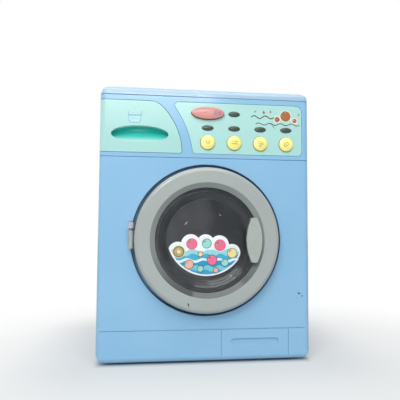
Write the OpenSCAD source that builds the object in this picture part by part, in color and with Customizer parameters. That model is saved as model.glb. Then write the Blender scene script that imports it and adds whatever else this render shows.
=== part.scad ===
// Toy front-loading washing machine with a turning drum, an opening door and a sliding drawer.
// Millimetres. The origin is on the floor under the middle, +X to the right seen from the front,
// +Z up, and the front face looks along -Y.

/* [Body] */
// Width of the body from side to side
body_w = 200; // [194:1:230]
// Height of the body above its feet
body_h = 255; // [252:1:280]
// Depth of the body from its front face to its rear face
body_d = 130; // [128:1:160]
// Rounding of the body outline seen from the front
corner_r = 11; // [8:0.5:12]
// Rounding of the edges that run round the front, rear and top
edge_r = 5; // [3.5:0.5:7]
// Thickness of the moulded casing walls
wall = 2.2; // [1.8:0.1:2.6]
// Depth from the front face to the seam between front and rear casings
split_y = 62; // [58:1:70]
// Height of the top cover's rim
cover_h = 8.2; // [7:0.1:10]
// Height of the control fascia below the top cover
fascia_h = 58.3; // [57:0.1:62]
// Height of the kick plate line above the bottom of the body
kick_h = 29; // [24:1:33]
// Width of the moulded seam grooves
groove_w = 0.7; // [0.4:0.1:1]
// Depth of the moulded seam grooves
groove_d = 0.6; // [0.3:0.1:0.8]
// Height of the rubber feet
foot_h = 2; // [1:0.5:5]
// Radius of the rubber feet
foot_r = 7; // [5:0.5:10]

/* [Filter flap lines] */
// Left line of the filter flap, from the middle of the body
flap_x0 = 14.6; // [10:0.2:20]
// Right line of the filter flap, from the middle of the body
flap_x1 = 78.6; // [74:0.2:84]
// Length of the oval finger recess on the flap
flap_grip_w = 45.4; // [30:0.2:50]
// Height of the oval finger recess on the flap
flap_grip_h = 5.6; // [4:0.2:8]
// Depth of the finger recess on the flap
flap_grip_d = 1.2; // [0.6:0.1:1.4]

/* [Door] */
// Sideways place of the door's centre
door_x = 0.4; // [-1:0.1:1]
// Gap between the kick plate line and the door ring
door_below = 15.8; // [14:0.1:18]
// Gap between the door ring and the fascia's lower seam
door_above = 9.3; // [8:0.1:11]
// How far the door ring stands out of the front face
door_proud = 10; // [9:0.5:12]
// Depth of the ring's skirt behind the front face
door_skirt = 5; // [4:0.2:6]
// Rounding of the ring's outer edge
door_round = 4; // [3:0.1:5]
// Thickness of the door's moulded walls
door_wall = 2.2; // [1.8:0.1:2.6]
// Width of the ring's face, from its outer edge to where it starts to slope inwards
face_w = 14.2; // [13.2:0.1:14.6]
// Width of the ring's sloping band, from the face to the inner lip
slope_w = 4.6; // [4:0.1:5.4]
// How far the inner lip stands out of the front face
lip_proud = 6; // [5.5:0.1:7]
// How far the clear window's flange reaches under the ring's lip
window_lap = 3.6; // [2.6:0.1:3.8]
// Thickness of the clear window
window_t = 1.5; // [1:0.1:1.8]
// Width of the window's flange that shows inside the ring's lip
flange_w = 3.9; // [2.9:0.1:5.4]
// Width of the sloping side of the window's dish
dish_side_w = 6.5; // [4.5:0.1:10]
// Depth of the window's dish below its flange
dish_d = 4.6; // [3:0.1:5]
// Gap between the door ring and the round pocket in the front casing
pocket_gap = 3.4; // [2.5:0.1:4]
// Depth of the round pocket behind the front face
pocket_d = 10; // [8.5:0.1:12]

/* [Door handle] */
// Width of the handle's leaf
handle_w = 14.5; // [11:0.1:15]
// Height of the handle's leaf
handle_h = 41; // [34:0.5:46]
// Width of the leaf's blunt ends
handle_end = 5; // [3:0.1:6]
// Thickness of the leaf
handle_t = 3; // [2.4:0.1:3.4]
// How far the handle stands out past the door ring's face
handle_proud = 2.5; // [1.5:0.1:4]

/* [Door hinge] */
// Gap between the hinge knuckle and the door ring
hinge_gap = 0.7; // [0.6:0.05:1]
// Radius of the long knuckle on the door ring
knuckle_r = 2.2; // [2:0.05:2.6]
// Length of the long knuckle
knuckle_l = 16.3; // [10:0.1:18]
// Radius of the short ear on the body's hinge bracket
ear_r = 2.6; // [2.2:0.05:2.8]
// Length of the short ear
ear_l = 5.9; // [4:0.1:8]
// Gap between the knuckle and the ear
ear_gap = 2; // [0.6:0.1:2.5]
// Radius of the steel hinge pin
pin_r = 1; // [0.8:0.05:1.2]
// Depth of the hinge axis in front of the front face
hinge_out = 4; // [3.5:0.1:4.5]

/* [Drawer] */
// Width of the drawer's front from the left side of the body
drawer_w = 76.5; // [72:0.5:80]
// Radius of the long curve at the drawer front's right edge
drawer_curve = 64.9; // [60:0.5:75]
// Rounding at the upper end of that curve
drawer_top_r = 16; // [10:0.5:20]
// Rounding at the lower end of that curve
drawer_low_r = 2.5; // [1:0.1:5]
// Length of the drawer's tray
tray_l = 48; // [40:1:50]
// Height of the drawer's tray
tray_h = 30; // [22:0.5:33]
// Thickness of the tray's walls
tray_wall = 1.6; // [1.2:0.1:2]
// Width of the oval finger recess
recess_w = 53.2; // [44:0.2:56]
// Height of the oval finger recess
recess_h = 15.9; // [12:0.1:17]
// Depth of the finger recess at its upper side
recess_d = 8; // [5:0.1:9]
// How far the drawer's front wraps round the side of the body
drawer_wrap = 8; // [6:0.5:12]

/* [Control panel] */
// Width of the casing strip between the drawer and the control panel
strip_w = 11.1; // [9:0.1:13]
// Radius of the long curve at the panel's left edge
panel_curve = 96.8; // [85:0.5:110]
// Rounding of the panel's left corners
panel_left_r = 3.4; // [2:0.1:5]
// Rounding of the panel's upper right corner
panel_right_r = 6; // [3:0.1:8]
// Margin between the panel and the right side of the body
panel_margin = 7.2; // [6.4:0.1:9]
// Margin between the panels and the fascia's lower seam
label_low = 4.4; // [3:0.1:6]
// Margin between the panels and the top cover's seam
label_top = 5.2; // [4:0.1:7]
// Thickness of the mint panel plate
panel_t = 1.2; // [0.8:0.1:1.4]
// Radius of the round programme buttons
button_r = 6.85; // [6:0.05:7.2]
// Height of the button's dome
button_dome = 1.7; // [1:0.1:2.5]
// Distance of the first programme button from the drawer's right edge
button_left = 24.2; // [23:0.1:26]
// Distance of the last programme button from the panel's right edge
button_right = 15.75; // [14:0.05:20]
// Number of programme buttons
button_n = 4; // [4]
// Travel of every button when it is pressed
button_travel = 1.5; // [1:0.1:2]
// Width of the oval start button
start_w = 31.2; // [26:0.1:33]
// Height of the oval start button
start_h = 11.5; // [9:0.1:13]
// Gap between the start button and its lamp
start_lamp_gap = 4.25; // [3.5:0.05:8]
// Width of the oval lamp lenses
lamp_w = 11.2; // [9:0.1:12]
// Height of the oval lamp lenses
lamp_h = 5; // [4:0.1:5.6]

/* [Drum and tub] */
// How much smaller the drum's radius is than the door ring's
drum_in = 7.2; // [7.2:0.1:10]
// Thickness of the drum's wall
drum_wall = 1.6; // [1.2:0.1:2]
// Gap between the ring's lip and the larger round mouth of the drum behind it
mouth_gap = 3.6; // [2:0.1:3.6]
// Gap between the drum and the tub
tub_gap = 4; // [3:0.2:5]
// Thickness of the tub's wall
tub_wall = 2; // [1.5:0.1:2.5]
// Height of the lifters inside the drum
lifter_h = 6; // [4:0.2:6.2]
// Radius of the holes in the drum's wall
hole_r = 1.5; // [1:0.1:2]
// Number of holes round the drum in each row
hole_n = 18; // [12:3:24]
// Radius of the drum's steel shaft
shaft_r = 3; // [2.5:0.1:3.5]

/* [Gear train] */
// Module of all the gears
gear_m = 1; // [0.9:0.02:1.04]
// Teeth of the gear on the drum shaft
drum_teeth = 48; // [48]
// Teeth of the idler's small gear
small_teeth = 12; // [12]
// Teeth of the idler's large gear
large_teeth = 36; // [36]
// Teeth of the motor pinion
pinion_teeth = 12; // [12]
// Backlash between mating teeth
backlash = 0.18; // [0.14:0.01:0.3]
// Width of the drum gear's face
gear_w = 6; // [5:0.1:6.6]
// Radius of the idler's steel axle
axle_r = 1.5; // [1.2:0.1:2]
// Radius of the motor can
motor_r = 10; // [9:0.1:12]
// Length of the motor can
motor_l = 25; // [20:0.5:26]
// Gap between the motor and the rear wall
motor_gap = 4.8; // [3.6:0.1:8]

/* [Batteries and rear] */
// Diameter of one battery cell
cell_d = 14.2; // [14:0.1:14.5]
// Length of one battery cell
cell_l = 50; // [49:0.1:50.5]
// Height of the battery box's floor above the bottom of the body
battery_h = 16; // [15:0.5:20]
// Radius of the speaker
speaker_r = 20; // [16:0.5:24]
// Height of the speaker and the switch above the fascia's lower seam
rear_row_h = 26; // [25:0.5:30]
// Distance of the speaker from the middle of the body
speaker_x = 50; // [46:0.5:56]
// Travel of the power switch
switch_travel = 4; // [3:0.1:5]

/* [Fasteners and fits] */
// Radius of the casing screws' shanks
screw_r = 1.4; // [1.2:0.05:1.6]
// Radius of the casing screws' heads
screw_head = 2.8; // [2.4:0.1:3]
// Running clearance of shafts and pins, on the radius
run_gap = 0.05; // [0.03:0.01:0.08]
// Clearance of fixed pieces that fit into each other, on the radius
fit_gap = 0.02; // [0.01:0.01:0.04]
// Clearance round pieces that slide past each other
slide_gap = 0.4; // [0.35:0.05:0.5]

/* [Hidden] */
$fn = 72;

// Overlap that carries a cut cleanly through a face
cut = 1;
// Overlap of two shapes that are moulded in one
weld = 0.1;

// The front face is moved back so that the box of the whole toy is centred on the origin.
front_most = door_proud + handle_proud;
front_y = -(body_d - front_most) / 2;

top_z = foot_h + body_h;
cover_z = top_z - cover_h;
fascia_z = cover_z - fascia_h;
kick_z = foot_h + kick_h;
label_z0 = fascia_z + label_low;
label_z1 = cover_z - label_top;
half_w = body_w / 2;
rear_y = body_d - wall;

// Drawer front and control panel outlines. Their long curves are centred below their lower edges.
drawer_drop = 1.9;
panel_drop = 12.4;
drawer_right = -half_w + drawer_w;
drawer_cx = drawer_right - drawer_curve;
drawer_cz = label_z0 - drawer_drop;
panel_cx = drawer_right + strip_w - panel_curve;
panel_cz = label_z0 - panel_drop;
panel_right = half_w - panel_margin;
panel_low_r = 4;
outline_gap = 0.35;

// Buttons and lamps. Each row's height is counted from the control panel's lower edge.
button_row = 10.8;
lamp_row = 24.6;
start_row = 38.6;
button_x0 = drawer_right + button_left;
button_pitch = (panel_right - button_right - button_x0) / (button_n - 1);
button_z = label_z0 + button_row;
lamp_z = label_z0 + lamp_row;
start_z = label_z0 + start_row;
button_gap = 0.3;
button_rim = 1;
button_flange = 1.3;
flange_t = 1.2;
flange_gap = 0.3;
flange_y0 = wall + flange_gap;
flange_y1 = flange_y0 + flange_t;
// Height and inset of each level of the start button's bevelled crown
start_levels = [[1.5, 0], [2.4, 0.8], [3, 2.5]];
lens_t = 1.1;
lens_proud = 0.4;
lens_flange = 1.1;
mat_top_y = flange_y1 + button_travel + flange_gap;
mat_t = 1.4;
mat_dome_h = 3.1;
mat_dome_top = 2.6;
mat_dome_foot = 4.4;
mat_margin = 0.7;
board_y0 = mat_top_y + mat_dome_h + mat_t;
board_t = 1.6;
mat_y0 = board_y0 - mat_t;
board_left = 25;
board_right = 4.2;
board_low = 2;
board_high = 2.6;
board_x0 = button_x0 - board_left;
board_x1 = half_w - wall - board_right;
board_z0 = label_z0 + board_low;
board_z1 = label_z1 - board_high;
post_r = 3;
post_in = 4;
board_screw_l = 5;
led_r = 1.5;

// Drawer
recess_in = 37;
recess_up = 17.1;
recess_cx = -half_w + recess_in;
recess_cz = label_z0 + recess_up;
scoop_low = 2;
guide_t = 2;
guide_gap = 0.2;
guide_up = 2.5;
guide_z0 = fascia_z + guide_up;
guide_left = -half_w + wall + guide_gap;
tray_x0 = guide_left + guide_t + slide_gap;
tray_z0 = guide_z0 + guide_t + slide_gap;
tray_in = 1.2;
tray_x1 = drawer_cx + sqrt(pow(drawer_curve, 2) - pow(tray_z0 + tray_h - drawer_cz, 2)) - tray_in;
guide_right = tray_x1 + slide_gap + guide_t;
guide_y0 = 12;
guide_y1 = split_y - 4;
guide_h = 20;
guide_flange_w = 12;
guide_flange_up = 12;
divider_share = 0.62;
divider_behind = 4;
divider_low = 6;

// Door
door_r = (fascia_z - door_above - kick_z - door_below) / 2;
door_z = kick_z + door_below + door_r;
slope_r = door_r - face_w;
lip_r = slope_r - slope_w;
window_r = lip_r + window_lap;
dish_r = lip_r - flange_w;
dish_floor_r = dish_r - dish_side_w;
pocket_r = door_r + pocket_gap;
lip_t = 1.4;
flange_back = -lip_proud + lip_t + window_t;
dish_floor_y = -lip_proud + lip_t + dish_d;
clamp_gap = 0.2;
back_ring_r = door_r - door_wall - clamp_gap;
back_ring_y = 2;
back_ring_t = 2.6;
clamp_r = window_r + clamp_gap;
clamp_w = 2;
door_screw_in = 8.2;
door_screw_r = door_r - door_screw_in;
door_screw_post = 3.2;
door_screw_tip = -3;
door_screw_head = screw_head - 0.4;
latch_x = door_screw_r;
latch_w = 3;
latch_l = 8;
latch_base_t = 1.6;
latch_base_w = 8;
latch_base_l = 12;
latch_reach = 2.4;
latch_y1 = pocket_d + wall + latch_reach;
sticker_t = 0.2;
sticker_edge = 0.6;
sticker_lift = 3.6;

// Door handle
handle_over = 1.6;
handle_cx = door_x + lip_r - handle_w / 2 + handle_over;
handle_y0 = -front_most;
handle_y1 = handle_y0 + handle_t;
pad_w = 4.4;
peg_r = 1.1;
peg_at = lip_r - 1;
peg_angle = 11;
peg_y1 = -lip_proud + 0.8;

// Door hinge
hinge_x = door_x - door_r - hinge_gap - knuckle_r;
hinge_y = -hinge_out;
knuckle_z0 = door_z - knuckle_l / 2;
ear_z0 = door_z + knuckle_l / 2 + ear_gap;
leaf_t = 2.2;
arm_t = 2;
arm_y = 4;
notch_gap = 0.2;
bracket_l = 10.3;
bracket_t = 2.4;
bracket_screw_in = 4.6;
bracket_screw_step = 4.7;
pin_head = 0.8;
pin_lip = 0.6;
pin_out = 0.6;

// Drum, tub and gears
drum_front_gap = 3.8;
drum_r = door_r - drum_in;
mouth_r = lip_r + mouth_gap;
large_w = 4;
plate_t = 2.4;
plate_gap = 2.4;
plate_screw_l = 8;
plate_ear_r = 6;
plate_hub_r = 14;
gear_step = 1;
gear_gap = 4.8;
motor_boss_l = 1.4;
plate_y1 = rear_y - motor_gap - motor_boss_l - motor_l;
plate_y0 = plate_y1 - plate_t;
large_y1 = plate_y0 - plate_gap;
large_y0 = large_y1 - large_w;
gear_y1 = large_y0 - gear_step;
gear_y0 = gear_y1 - gear_w;
tub_y1 = gear_y0 - gear_gap;
tub_in_y = tub_y1 - tub_wall;
drum_y1 = tub_in_y - tub_gap;
tub_y0 = pocket_d + wall;
drum_y0 = tub_y0 + drum_front_gap;
drum_l = drum_y1 - drum_y0;
tub_in_r = drum_r + tub_gap;
tub_out_r = tub_in_r + tub_wall;
tub_flange_r = tub_out_r + 5;
tub_screw_at = pocket_r + wall + 6.2;
tub_ear_r = 5;
tub_screw_l = 7;
ear_half_w = 4.2;
collar_y1 = drum_y0 - 0.8;
hub_r = 9;
shaft_in = 4.8;
bush_r = 5.5;
bush_flange_r = 7.5;
bush_flange_t = 1.2;
bush_proud = 3;
bush_y0 = tub_in_y - bush_flange_t;
bush_y1 = tub_y1 + bush_proud;
boss_r = 9;
idler_boss_w = 2.4;
hub_l = 6;
lifter_foot = 7;
lifter_top = 2;
gear_hub_w = 3;
idler_hub_w = 2;
end_gap = 0.4;
lighten_at = 14;
lighten_r = 4;
tooth_add = 0.95;
tooth_ded = 1.2;
pressure = 25;
idler_angle = -50;
motor_angle = -20;
idler_dist = gear_m * (drum_teeth + small_teeth) / 2;
motor_dist = gear_m * (large_teeth + pinion_teeth) / 2;
idler_x = door_x + idler_dist * cos(idler_angle);
idler_z = door_z + idler_dist * sin(idler_angle);
motor_x = idler_x + motor_dist * cos(motor_angle);
motor_z = idler_z + motor_dist * sin(motor_angle);
motor_flat = 15;
motor_shaft_r = 1;
motor_boss_r = 3;
motor_screw_r = 1;
motor_screw_head = 1.8;
motor_screw_in = 2.6;
pillar_r = 3.6;
pillar_low_angle = -98;
pillar_side_angle = -14.5;
pillar_low_in = 16;
pillar_side_in = 10.6;
pillars = [
    [door_x - 24.4 * gear_m, door_z - 21 * gear_m],
    [door_x + (tub_out_r - pillar_low_in) * cos(pillar_low_angle),
        door_z + (tub_out_r - pillar_low_in) * sin(pillar_low_angle)],
    [door_x + (tub_out_r - pillar_side_in) * cos(pillar_side_angle),
        door_z + (tub_out_r - pillar_side_in) * sin(pillar_side_angle)],
    [door_x + 31.6 * gear_m, door_z + 14 * gear_m]
];

// Batteries, speaker and switch at the rear
box_wall = 1.6;
cell_n = 3;
cell_gap = 0.8;
cell_pitch = cell_d + cell_gap;
cell_back = 0.6;
cap_r = 2.7;
cap_h = 1.3;
spring_l = 3.5;
box_in_w = cell_l + 2 * spring_l;
box_in_h = cell_n * cell_pitch;
box_in_d = cell_d + 1;
box_z0 = foot_h + battery_h;
box_y0 = rear_y - box_in_d - box_wall;
cover_lip = 1.2;
cover_tab = 7;
cover_head = 0.8;
cover_sunk = 0.2;
cover_rib_n = 5;
cover_rib_step = 2.4;
cover_rib_l = 16;
cell_y = rear_y - cell_d / 2 - cell_back;
rear_row_z = fascia_z + rear_row_h;
speaker_rim_t = 3;
speaker_y0 = rear_y - speaker_rim_t;
speaker_l = 9;
speaker_ring_t = 2;
speaker_fit = 0.3;
frame_t = 1.4;
grille_n = 3;
grille_r = 1.2;
grille_step = 4.6;
switch_x = speaker_x;
switch_w = 20;
switch_hz = 9;
switch_d = 10;
knob_w = 6;
knob_h = 5;
knob_gap = 0.4;
slider_t = 2;
slider_back = 1.6;
slider_wing = 2;
slider_room = slider_wing + 0.6;
finger_w = 20;
finger_h = 10;
finger_d = 1.6;

// Feet, counted from the sides and from the front and rear
foot_side = 19;
foot_front = 18;

// Smaller screws of the door, hinge, board and speaker, and those of the gear plate
small_r = screw_r - 0.3;
small_head = screw_head - 0.6;
plate_screw_r = screw_r - 0.2;
clear_r = screw_r + 0.2;

// Places of the casing screws: four for the front casing and two for the fascia
screw_side = half_w - 12;
screw_edge = half_w - wall - 5;
screw_low = 16;
screw_high = 12;
screw_top = 3.6;
low_screws = [for (s = [-1, 1], z = [foot_h + screw_low, fascia_z - screw_high]) [s * screw_side, z]];
high_screws = [for (s = [-1, 1]) [s * screw_edge, label_z1 - screw_top]];
tower_r = screw_head + 1.8;
boss_out_r = screw_r + 2.6;
cover_post_out = boss_out_r + 0.4;
tower_y0 = split_y + 2;
tower_floor = 2;
screw_grip = 12;
tower_hole_y0 = tower_y0 - screw_grip - 2 * cut;
fascia_boss_l = 20;
cover_post_l = 9;
head_h = 1.6;
rib_t = 1.4;
rib_h = 3;
rib_gap = 0.2;
rib_in = 1;
kick_left = 3.5;
kick_right = 5.6;
flap_grip_up = 17.5;

// Corner points of an arc that runs from angle a0 to angle a1
function arc(cx, cz, r, a0, a1, n = 8) =
    [for (i = [0:n]) let (a = a0 + (a1 - a0) * i / n) [cx + r * cos(a), cz + r * sin(a)]];

function ellipse_points(w, h, n = 48) =
    [for (i = [0:n - 1]) [w / 2 * cos(360 * i / n), h / 2 * sin(360 * i / n)]];

// A front view outline in X and Z, given thickness between two depths
module slab(y0, y1) {
    translate([0, y1, 0]) rotate([90, 0, 0]) linear_extrude(y1 - y0) children();
}

module rod_y(x, z, r, y0, y1) {
    slab(y0, y1) translate([x, z]) circle(r);
}

module block_at(x0, x1, y0, y1, z0, z1) {
    translate([x0, y0, z0]) cube([x1 - x0, y1 - y0, z1 - z0]);
}

// A profile of radius and depth, turned round an axis through the door's centre
module turned() {
    translate([door_x, 0, door_z]) rotate([-90, 0, 0]) rotate_extrude() children();
}

module rounded(w, h, r) {
    translate([r, 0]) square([w - 2 * r, h]);
    translate([0, r]) square([w, h - 2 * r]);
    for (x = [r, w - r], z = [r, h - r]) translate([x, z]) circle(r);
}

module ellipse(w, h) {
    polygon(ellipse_points(w, h));
}

// The body's block with every face moved inwards by a given amount
module body_block(inset) {
    w = body_w - 2 * inset;
    h = body_h - 2 * inset;
    d = body_d - 2 * inset;
    r_front = corner_r - inset;
    r_edge = edge_r - inset;
    intersection() {
        slab(inset, body_d - inset)
            translate([-w / 2, foot_h + inset]) rounded(w, h, r_front);
        translate([-w / 2, inset, foot_h + inset]) linear_extrude(h) rounded(w, d, r_edge);
        translate([-w / 2, 0, 0]) rotate([90, 0, 90]) linear_extrude(w)
            translate([inset, foot_h + inset]) rounded(d, h, r_edge);
    }
}

module casing(y0, y1, z0, z1) {
    intersection() {
        difference() {
            body_block(0);
            body_block(wall);
        }
        block_at(-body_w, body_w, y0, y1, z0, z1);
    }
}

// A groove round the outside of the casing between two planes
module seam(y0, y1, z0, z1) {
    difference() {
        block_at(-body_w, body_w, y0, y1, z0, z1);
        body_block(groove_d);
    }
}

module seam_level(z) {
    seam(-cut, body_d + cut, z - groove_w / 2, z + groove_w / 2);
}

module seam_depth(y) {
    seam(y - groove_w / 2, y + groove_w / 2, 0, top_z + cut);
}

// Drawer front outline, grown by g. It runs past the left side of the body.
module drawer_outline(g) {
    top_z_c = label_z1 - drawer_top_r;
    top_x_c = drawer_cx + sqrt(pow(drawer_curve - drawer_top_r, 2) - pow(top_z_c - drawer_cz, 2));
    low_z_c = label_z0 + drawer_low_r;
    low_x_c = drawer_cx + sqrt(pow(drawer_curve - drawer_low_r, 2) - pow(low_z_c - drawer_cz, 2));
    top_a = atan2(top_z_c - drawer_cz, top_x_c - drawer_cx);
    low_a = atan2(low_z_c - drawer_cz, low_x_c - drawer_cx);
    polygon(concat(
        [[-half_w - edge_r, label_z0 - g]],
        arc(low_x_c, low_z_c, drawer_low_r + g, -90, low_a, 6),
        arc(drawer_cx, drawer_cz, drawer_curve + g, low_a, top_a, 14),
        arc(top_x_c, top_z_c, drawer_top_r + g, top_a, 90, 8),
        [[-half_w - edge_r, label_z1 + g]]
    ));
}

// Control panel outline, grown by g. Its left edge is hollow, concentric with no other curve.
module panel_outline(g) {
    top_z_c = label_z1 - panel_left_r;
    top_x_c = panel_cx + sqrt(pow(panel_curve + panel_left_r, 2) - pow(top_z_c - panel_cz, 2));
    low_z_c = label_z0 + panel_left_r;
    low_x_c = panel_cx + sqrt(pow(panel_curve + panel_left_r, 2) - pow(low_z_c - panel_cz, 2));
    top_a = atan2(top_z_c - panel_cz, top_x_c - panel_cx);
    low_a = atan2(low_z_c - panel_cz, low_x_c - panel_cx);
    polygon(concat(
        arc(panel_right - panel_right_r, label_z1 - panel_right_r, panel_right_r + g, 0, 90, 8),
        arc(top_x_c, top_z_c, panel_left_r + g, 90, 180 + top_a, 8),
        arc(panel_cx, panel_cz, panel_curve - g, top_a, low_a, 14),
        arc(low_x_c, low_z_c, panel_left_r + g, 180 + low_a, 270, 8),
        arc(panel_right - panel_low_r, label_z0 + panel_low_r, panel_low_r + g, -90, 0, 8)
    ));
}

function button_x(i) = button_x0 + (i - 1) * button_pitch;

// Every lamp's place, the start button's lamp last
lamps = concat(
    [for (i = [1:button_n]) [button_x(i), lamp_z]],
    [[button_x(1) + start_w / 2 + start_lamp_gap + lamp_w / 2, start_z]]
);

// Openings for buttons and lamps, cut through the panel and the fascia behind it
module control_openings() {
    for (i = [1:button_n]) translate([button_x(i), button_z]) circle(button_r + button_gap);
    translate([button_x(1), start_z])
        ellipse(start_w + 2 * button_gap, start_h + 2 * button_gap);
    for (p = lamps) translate(p) ellipse(lamp_w + button_gap, lamp_h + button_gap);
}

board_posts = [
    [board_x0 + post_in, board_z0 + post_in], [board_x1 - post_in, board_z0 + post_in],
    [board_x0 + post_in, board_z1 - post_in], [board_x1 - post_in, board_z1 - post_in]
];

tub_posts = [for (a = [45:90:315])
    [door_x + tub_screw_at * cos(a), door_z + tub_screw_at * sin(a)]];

door_posts = [for (a = [35, 145, 215, 325])
    [door_x + door_screw_r * cos(a), door_z + door_screw_r * sin(a)]];

// Places of n points spread evenly on a circle round x and z
function round_places(n, r, x, z, a0) =
    [for (i = [0:n - 1]) [x + r * cos(a0 + 360 * i / n), z + r * sin(a0 + 360 * i / n)]];

speaker_posts = round_places(2, speaker_r + 5, -speaker_x, rear_row_z, 45);
cover_posts = [for (s = [-1, 1])
    [0, box_z0 + box_in_h / 2 + s * (box_in_h / 2 + box_wall + cover_post_out)]];
bracket_screw_z = ear_z0 + ear_l / 2;
bracket_screws = [for (i = [0, 1]) [hinge_x - bracket_screw_in - bracket_screw_step * i, bracket_screw_z]];
motor_screw_at = 6.5;
motor_mounts = [for (s = [-1, 1]) [motor_x, motor_z + s * motor_screw_at]];

// Casings

module front_housing() color([0.56, 0.75, 0.9]) {
    flap_mid = (flap_x0 + flap_x1) / 2;
    grip_z = foot_h + flap_grip_up;
    difference() {
        union() {
            casing(-cut, split_y, 0, fascia_z);
            turned() pocket_profile();
            for (p = tub_posts) rod_y(p[0], p[1], boss_out_r, wall - groove_d, tub_y0);
            for (p = low_screws) rod_y(p[0], p[1], boss_out_r, wall - groove_d, tower_y0);
        }
        rod_y(door_x, door_z, pocket_r, -cut, pocket_d);
        rod_y(door_x, door_z, mouth_r, -cut, split_y);
        for (p = tub_posts)
            rod_y(p[0], p[1], screw_r + fit_gap, tub_y0 - tub_screw_l - cut, tub_y0 + cut);
        for (p = low_screws) rod_y(p[0], p[1], screw_r + fit_gap, tower_hole_y0, tower_y0 + cut);
        latch_slot();
        hinge_notches();
        slab(-cut, groove_d) {
            translate([-half_w + kick_left, kick_z - groove_w / 2])
                square([body_w - kick_left - kick_right, groove_w]);
            for (x = [flap_x0, flap_x1])
                translate([x - groove_w / 2, 0]) square([groove_w, kick_z]);
        }
        slab(-cut, flap_grip_d) translate([flap_mid, grip_z]) grip_outline();
        seam_level(fascia_z);
        seam_depth(split_y);
    }
}

// The pocket for the door: side wall, floor and the short collar that leads into the drum
module pocket_profile() {
    translate([pocket_r - fit_gap, groove_d]) square([wall + fit_gap, pocket_d + wall - groove_d]);
    translate([mouth_r, pocket_d]) square([pocket_r + wall - mouth_r, wall]);
    translate([mouth_r, pocket_d]) square([wall, collar_y1 - pocket_d]);
}

module grip_outline() {
    translate([-flap_grip_w / 2, -flap_grip_h / 2])
        rounded(flap_grip_w, flap_grip_h, flap_grip_h / 2 - 0.01);
}

module latch_slot() {
    room_in = 0.6;
    room_out = 1.1;
    room_end = 0.5;
    block_at(door_x + latch_x - latch_w / 2 - room_in, door_x + latch_x + latch_w / 2 + room_out,
        pocket_d - cut, tub_y0 + cut, door_z - latch_l / 2 - room_end, door_z + latch_l / 2 + room_end);
}

// Room for the hinge bracket's leaf and for the arm of the door's knuckle
module hinge_notches() {
    leaf_x0 = hinge_x - knuckle_r;
    z0 = ear_z0 - notch_gap;
    z1 = ear_z0 + ear_l + notch_gap;
    plate_room = 4;
    arm_side = 0.5;
    arm_room = 3;
    block_at(leaf_x0 - notch_gap, hinge_x + leaf_t, -cut, wall + 0.01, z0, z1);
    block_at(leaf_x0 - plate_room, hinge_x + leaf_t, wall, wall + bracket_t + notch_gap, z0, z1);
    block_at(hinge_x - arm_side, hinge_x + arm_room, -cut, back_ring_y + arm_y,
        knuckle_z0 - 2 * notch_gap, knuckle_z0 + knuckle_l + 2 * notch_gap);
    for (p = bracket_screws) rod_y(p[0], p[1], small_r + fit_gap, groove_d, wall + cut);
}

module rear_housing() color([0.56, 0.75, 0.9]) {
    difference() {
        union() {
            casing(split_y, body_d + cut, 0, cover_z);
            for (p = concat(low_screws, high_screws))
                rod_y(p[0], p[1], tower_r, tower_y0, rear_y + groove_d);
            for (p = cover_posts) rod_y(p[0], p[1], boss_out_r, rear_y - cover_post_l, rear_y + groove_d);
            for (p = speaker_posts)
                rod_y(p[0], p[1], boss_out_r, speaker_y0, rear_y + groove_d);
            rear_speaker_rim();
            switch_frame();
        }
        for (p = concat(low_screws, high_screws)) {
            rod_y(p[0], p[1], screw_head + 0.3, tower_y0 + tower_floor, body_d + cut);
            rod_y(p[0], p[1], clear_r, tower_y0 - cut, tower_y0 + tower_floor + cut);
        }
        for (p = cover_posts) rod_y(p[0], p[1], screw_r + run_gap, rear_y - cover_post_l + cut, body_d + cut);
        for (p = speaker_posts)
            rod_y(p[0], p[1], small_r + fit_gap, speaker_y0 - cut, rear_y - 0.4);
        cover_opening();
        speaker_grille();
        slab(rear_y - cut, body_d + cut)
            translate([switch_x - knob_w / 2 - knob_gap, rear_row_z - knob_h / 2 - knob_gap])
            square([knob_w + switch_travel + 2 * knob_gap, knob_h + 2 * knob_gap]);
        slab(body_d - finger_d, body_d + cut)
            translate([switch_x + (switch_travel - finger_w) / 2, rear_row_z - finger_h / 2])
            square([finger_w, finger_h]);
        seam_level(fascia_z);
        seam_level(cover_z);
        seam_depth(split_y);
    }
}

// Four short walls behind the rear wall, inside which the switch body sits
module switch_frame() {
    gap = 0.2;
    frame_h = 4;
    w = switch_w + 2 * gap;
    h = switch_hz + 2 * gap;
    slab(rear_y - frame_h, rear_y + groove_d)
        translate([switch_x + (switch_travel - w) / 2, rear_row_z - h / 2]) difference() {
            translate([-frame_t, -frame_t]) square([w + 2 * frame_t, h + 2 * frame_t]);
            square([w, h]);
        }
}

module rear_speaker_rim() {
    slab(speaker_y0 + 1, rear_y + groove_d) translate([-speaker_x, rear_row_z]) difference() {
        circle(speaker_r + speaker_fit + frame_t);
        circle(speaker_r + speaker_fit);
    }
}

module speaker_grille() {
    rod_y(-speaker_x, rear_row_z, grille_r, rear_y - cut, body_d + cut);
    for (k = [1:grille_n], p = round_places(6 * k, grille_step * k, -speaker_x, rear_row_z, 90))
        rod_y(p[0], p[1], grille_r, rear_y - cut, body_d + cut);
}

// A stepped opening in the rear wall for the battery cover and its two screw tabs
module cover_shape(g) {
    w = box_in_w + 2 * box_wall;
    h = box_in_h + 2 * box_wall;
    translate([-w / 2 - g, box_z0 - box_wall - g]) square([w + 2 * g, h + 2 * g]);
    for (p = cover_posts)
        translate([-cover_tab / 2 - g, p[1] - cover_post_out - g])
            square([cover_tab + 2 * g, 2 * (cover_post_out + g)]);
}

module cover_opening() {
    slab(body_d - cover_lip, body_d + cut) cover_shape(slide_gap);
    slab(rear_y - 0.02, body_d) translate([-box_in_w / 2, box_z0]) square([box_in_w, box_in_h]);
}

module top_cover() color([0.6, 0.78, 0.92]) {
    difference() {
        union() {
            casing(-cut, body_d + cut, cover_z, top_z + cut);
            cover_rib();
        }
        seam_level(cover_z);
    }
}

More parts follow.
